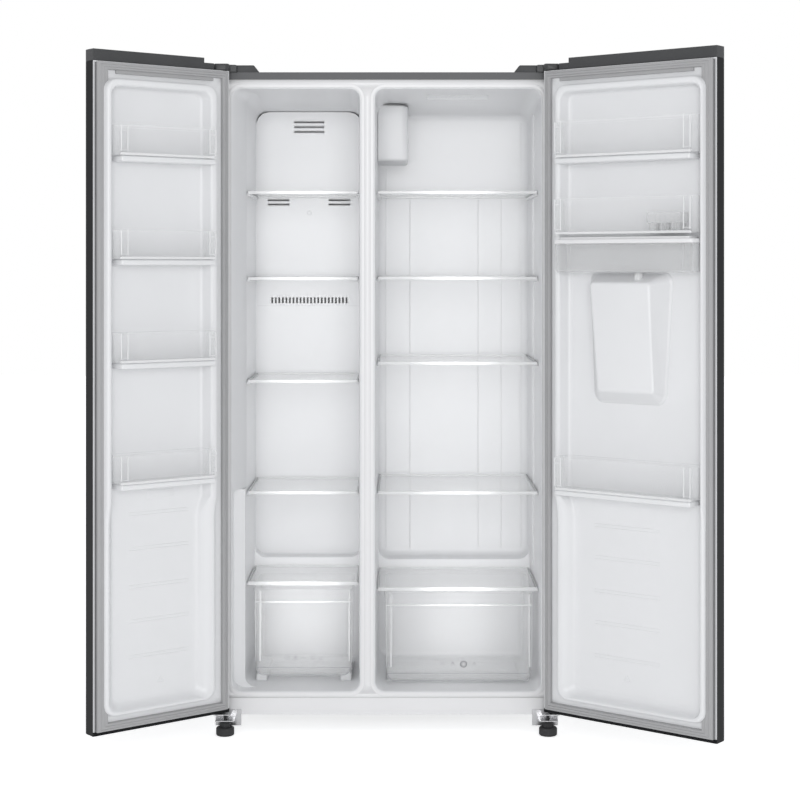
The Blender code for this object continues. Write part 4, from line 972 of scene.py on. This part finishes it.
def tank():
    """The water tank: a clear tub with ribs at its ends, and a white lid with a filling cap."""
    i0, i1 = RECESS["fridge"]
    u0, u1, v0, v1 = i0 + 0.0018, i1 - 0.0018, FLOOR_V + 0.0006, BIN_FACE - 0.003
    body = Form(on_door("fridge"))
    body.tub(u0, u1, v0, v1, 1.2196, 1.2925, 0.0025, 0.0025, 0.01, edge=0.006, taper=0.002)
    for a in (u0 + 0.024, u0 + 0.045, u1 - 0.026):
        body.bar(a, a + 0.0016, 1.226, 1.29, v1 - 0.003, v1 - 0.0004, 0.0006, 0.0006)
    body.object("water_tank_tub", "water_tank", "clear_plastic", TANK, ["water_tank"])
    lid = Form(on_door("fridge"))
    lid.slab(u0 - 0.001, u1 + 0.001, v0, BIN_FACE - 0.0012, 1.293, 1.304, 0.008, 0.0025)
    lid.slab(u0 + 0.012, u1 - 0.012, v0 + 0.01, BIN_FACE - 0.01, 1.3035, 1.3098, 0.006, 0.0015)
    lid.object("water_tank_cover", "water_tank", "white_frame", FRAME_WHITE, ["water_tank_lid"])


egg_tray()
tap()
tank()


def embossing(room):
    """Shallow double lines on the lower panel, a blank plate on the freezer door and a small triangle."""
    form = Form(on_door(room))
    u0, u1, levels = {"freezer": (0.12, 0.296, (0.607, 0.519, 0.423, 0.336, 0.246)),
                      "fridge": (0.152, 0.343, (0.568, 0.486, 0.4, 0.3185, 0.233))}[room]
    base = FLOOR_V - 0.0006
    for z in levels:
        for dz in (-0.004, 0.004):
            form.bar(u0, u1, z + dz - 0.001, z + dz + 0.001, base, FLOOR_V + 0.0008, 0.0009, 0.0005, count=3)
    if room == "freezer":
        form.bar(0.165, 0.244, 0.644, 0.664, base, FLOOR_V + 0.0009, 0.003, 0.0006)
    u, z = {"freezer": (0.204, 0.177), "fridge": (0.249, 0.184)}[room]
    angles = [math.pi / 2 + k * 2 * math.pi / 3 for k in range(4)]
    corners = [(u + 0.01 * math.cos(a), FLOOR_V + 0.0003, z + 0.01 * math.sin(a)) for a in angles]
    for start, end in zip(corners, corners[1:]):
        form.rod(start, end, 0.0007, 8, 0.0001)
    form.object(room + "_door_embossing", room + "_door", "white_liner", WHITE)


for room in SIDE:
    embossing(room)

# ---------------------------------------------------------------- hinge covers and back
CAP_LOW, CAP_TOP = 1.7503, 1.769
CAP_ENDS = ((0.0016, 0.003), (0.0005, 0.0036), (0.0, 0.0048), (0.0, 0.093), (0.0005, 0.0944), (0.0016, 0.095))
# The nose stays inside the circle that the step on the door's cap sweeps: depth, two sides and top.
NOSE_ROWS = ((0.006, 0.396, 0.454, 1.769), (-0.003, 0.3965, 0.454, 1.769),
             (-0.0095, 0.3985, 0.454, 1.7688), (-0.0122, 0.4135, 0.454, 1.7687),
             (-0.04, 0.4135, 0.454, 1.768), (-0.048, 0.415, 0.4535, 1.7676),
             (-0.053, 0.4176, 0.452, 1.767), (-0.0565, 0.4212, 0.449, 1.766),
             (-0.0575, 0.424, 0.4455, 1.764))
SCREW_PROFILE = ((1.0, -0.0004), (1.0, 0.0006), (0.93, 0.0012), (0.72, 0.0017), (0.3, 0.0019))
HEAD_RADIUS = 0.0046


def hinge_cover(room):
    """The moulded cap over the top hinge: a low box with a slanted end and a nose over the door's corner."""
    side = SIDE[room]
    x0, x1, slant = 0.338, 0.4545, 0.352
    low, top = CAP_LOW, CAP_TOP
    body = Form()
    rings = []
    for inset, y in CAP_ENDS:
        h = top - inset
        outline = ((x0 + inset, low), (x1 - inset, low), (x1 - inset, h - 0.002), (x1 - inset - 0.002, h),
                   (slant + inset + 0.002, h), (slant + inset - 0.001, h - 0.002))
        rings.append([(side * x, y, z) for x, z in outline])
    body.rings(rings)
    radii = (0.0004, 0.0004, 0.0035, 0.0035)
    body.rings([[(side * x, y, z) for x, z in loop(a, b, low, h, radii, 4)] for y, a, b, h in NOSE_ROWS])
    body.object(room + "_hinge_cap", "cabinet", "dark_plastic", DARK, [room + "_hinge_cover"], smooth=40)
    step = Form(on_door(room))
    step.slab(0.0452, 0.077, -0.0215, 0.0215, 1.7491, 1.7655, 0.002, 0.0012)
    step.object(room + "_door_cap_step", room + "_door", "dark_plastic", DARK)


def screw(form, x, y, z):
    """A pan head screw in a face that looks back."""
    form.rings([[(a, y + rise, c) for a, c, _ in circle(x, z, 0, HEAD_RADIUS * r, 18)]
                for r, rise in SCREW_PROFILE])


def back_details():
    """Screw heads and pressed beads on the back panel, and the heads that hold the machine room cover."""
    (px0, px1), (_, back), (pz0, pz1) = extent("back_panel")
    (cx0, cx1), (_, cover), (cz0, cz1) = extent("machine_cover")
    heads = Form()
    for x in (px0 + 0.014, px0 + 0.3, px1 - 0.3, px1 - 0.014):
        screw(heads, x, back, pz1 - 0.014)
    for z in (pz0 + 0.25, pz0 + 0.6, pz0 + 0.95):
        for x in (px0 + 0.014, px1 - 0.014):
            screw(heads, x, back, z)
    for x in (cx0 + 0.02, (cx0 + cx1) / 2, cx1 - 0.02):
        screw(heads, x, cover, cz1 - 0.014)
    for x in (cx0 + 0.02, cx1 - 0.02):
        screw(heads, x, cover, cz0 + 0.02)
    heads.object("back_screw_heads", "cabinet", "plated_steel", PLATED)
    beads = Form()
    for x in (px0 + 0.1, px0 + 0.36, px1 - 0.36, px1 - 0.1):
        beads.bar(x - 0.006, x + 0.006, pz0 + 0.08, pz1 - 0.08, back - 0.0006, back + 0.0012, 0.0055, 0.0009,
                  count=6)
    beads.object("back_panel_beads", "cabinet", "galvanised", GALVANISED)


back_details()


for room in SIDE:
    hinge_cover(room)

for node in ("freezer_door_skin", "fridge_door_skin", "freezer_door_top_cap", "fridge_door_top_cap",
             "freezer_top_hinge", "fridge_top_hinge",
             "freezer_bottom_hinge", "fridge_bottom_hinge", "front_foot_left", "front_foot_right",
             "kick_plate", "outer_cabinet", "machine_cover", "dispenser_paddle", "lamp_cover", "base_pan"):
    soften(node)

# ---------------------------------------------------------------- stage
def soft_light(name, place, target, size, power, size_y=None, spread=180):
    data = bpy.data.lights.new(name, "AREA")
    data.shape = "RECTANGLE"
    data.size = size
    data.size_y = size_y or size
    data.energy = power
    data.spread = math.radians(spread)
    lamp = bpy.data.objects.new(name, data)
    bpy.context.scene.collection.objects.link(lamp)
    lamp.location = place
    lamp.rotation_euler = (Vector(target) - Vector(place)).to_track_quat("-Z", "Y").to_euler()
    lamp.visible_camera = False
    return lamp


world = bpy.data.worlds.new("studio")
world.use_nodes = True
sky = world.node_tree
fill = sky.nodes["Background"]
fill.inputs["Color"].default_value = (0.97, 0.98, 1, 1)
fill.inputs["Strength"].default_value = 0.66
backdrop = sky.nodes.new("ShaderNodeBackground")
backdrop.inputs["Color"].default_value = (1, 1, 1, 1)
backdrop.inputs["Strength"].default_value = 1.0
seen = sky.nodes.new("ShaderNodeLightPath")
choice = sky.nodes.new("ShaderNodeMixShader")
sky.links.new(seen.outputs["Is Camera Ray"], choice.inputs[0])
sky.links.new(fill.outputs[0], choice.inputs[1])
sky.links.new(backdrop.outputs[0], choice.inputs[2])
sky.links.new(choice.outputs[0], sky.nodes["World Output"].inputs["Surface"])
scene = bpy.context.scene
scene.world = world
scene.view_settings.view_transform = "Standard"
scene.cycles.transparent_max_bounces = 32

soft_light("front_softbox", (0.0, -5.2, 1.7), (0, 0, 1.0), 2.2, 71, 1.8)
for room, power in (("freezer", 0.58), ("fridge", 0.74)):
    x = sum(WALL[room]) / 2
    glow = soft_light(room + "_glow", at(x, 0.03, 0.9), at(x, 0.4, 0.9), 0.16, power, 1.45, spread=130)
    glow.visible_glossy = False
    low_glow = soft_light(room + "_low_glow", at(x, 0.03, 0.3), at(x, 0.4, 0.26), 0.16, 0.055, 0.3,
                          spread=130)
    low_glow.visible_glossy = False

bpy.ops.mesh.primitive_plane_add(size=30, location=(0, 0, 0))
floor = bpy.context.object
floor.name = "floor"
floor_finish = surface("pale_floor", (0.93, 0.93, 0.93), 0.75, variation=0.004, bump=0.0,
                       Specular_IOR_Level=0.1, Emission_Color=(1, 1, 1, 1))
# The floor looks brighter than the light it casts, so that it meets the backdrop without a horizon.
new, link = links(floor_finish.node_tree)
floor_seen = new("ShaderNodeLightPath")
floor_glow = new("ShaderNodeMapRange")
floor_glow.inputs["To Min"].default_value = 0.24
floor_glow.inputs["To Max"].default_value = 0.6
link(floor_seen.outputs["Is Camera Ray"], floor_glow.inputs["Value"])
shader = floor_finish.node_tree.nodes["Principled BSDF"]
link(floor_glow.outputs["Result"], shader.inputs["Emission Strength"])
floor.data.materials.append(floor_finish)

camera_data = bpy.data.cameras.new("camera")
camera = bpy.data.objects.new("camera", camera_data)
scene.collection.objects.link(camera)
camera.location = (-0.00646, -4.76523, 1.236)
camera.rotation_euler = (math.radians(90), 0, 0)
camera_data.lens = 79.1
camera_data.sensor_width = 36
camera_data.shift_y = -0.1675
camera_data.clip_end = 60
scene.camera = camera
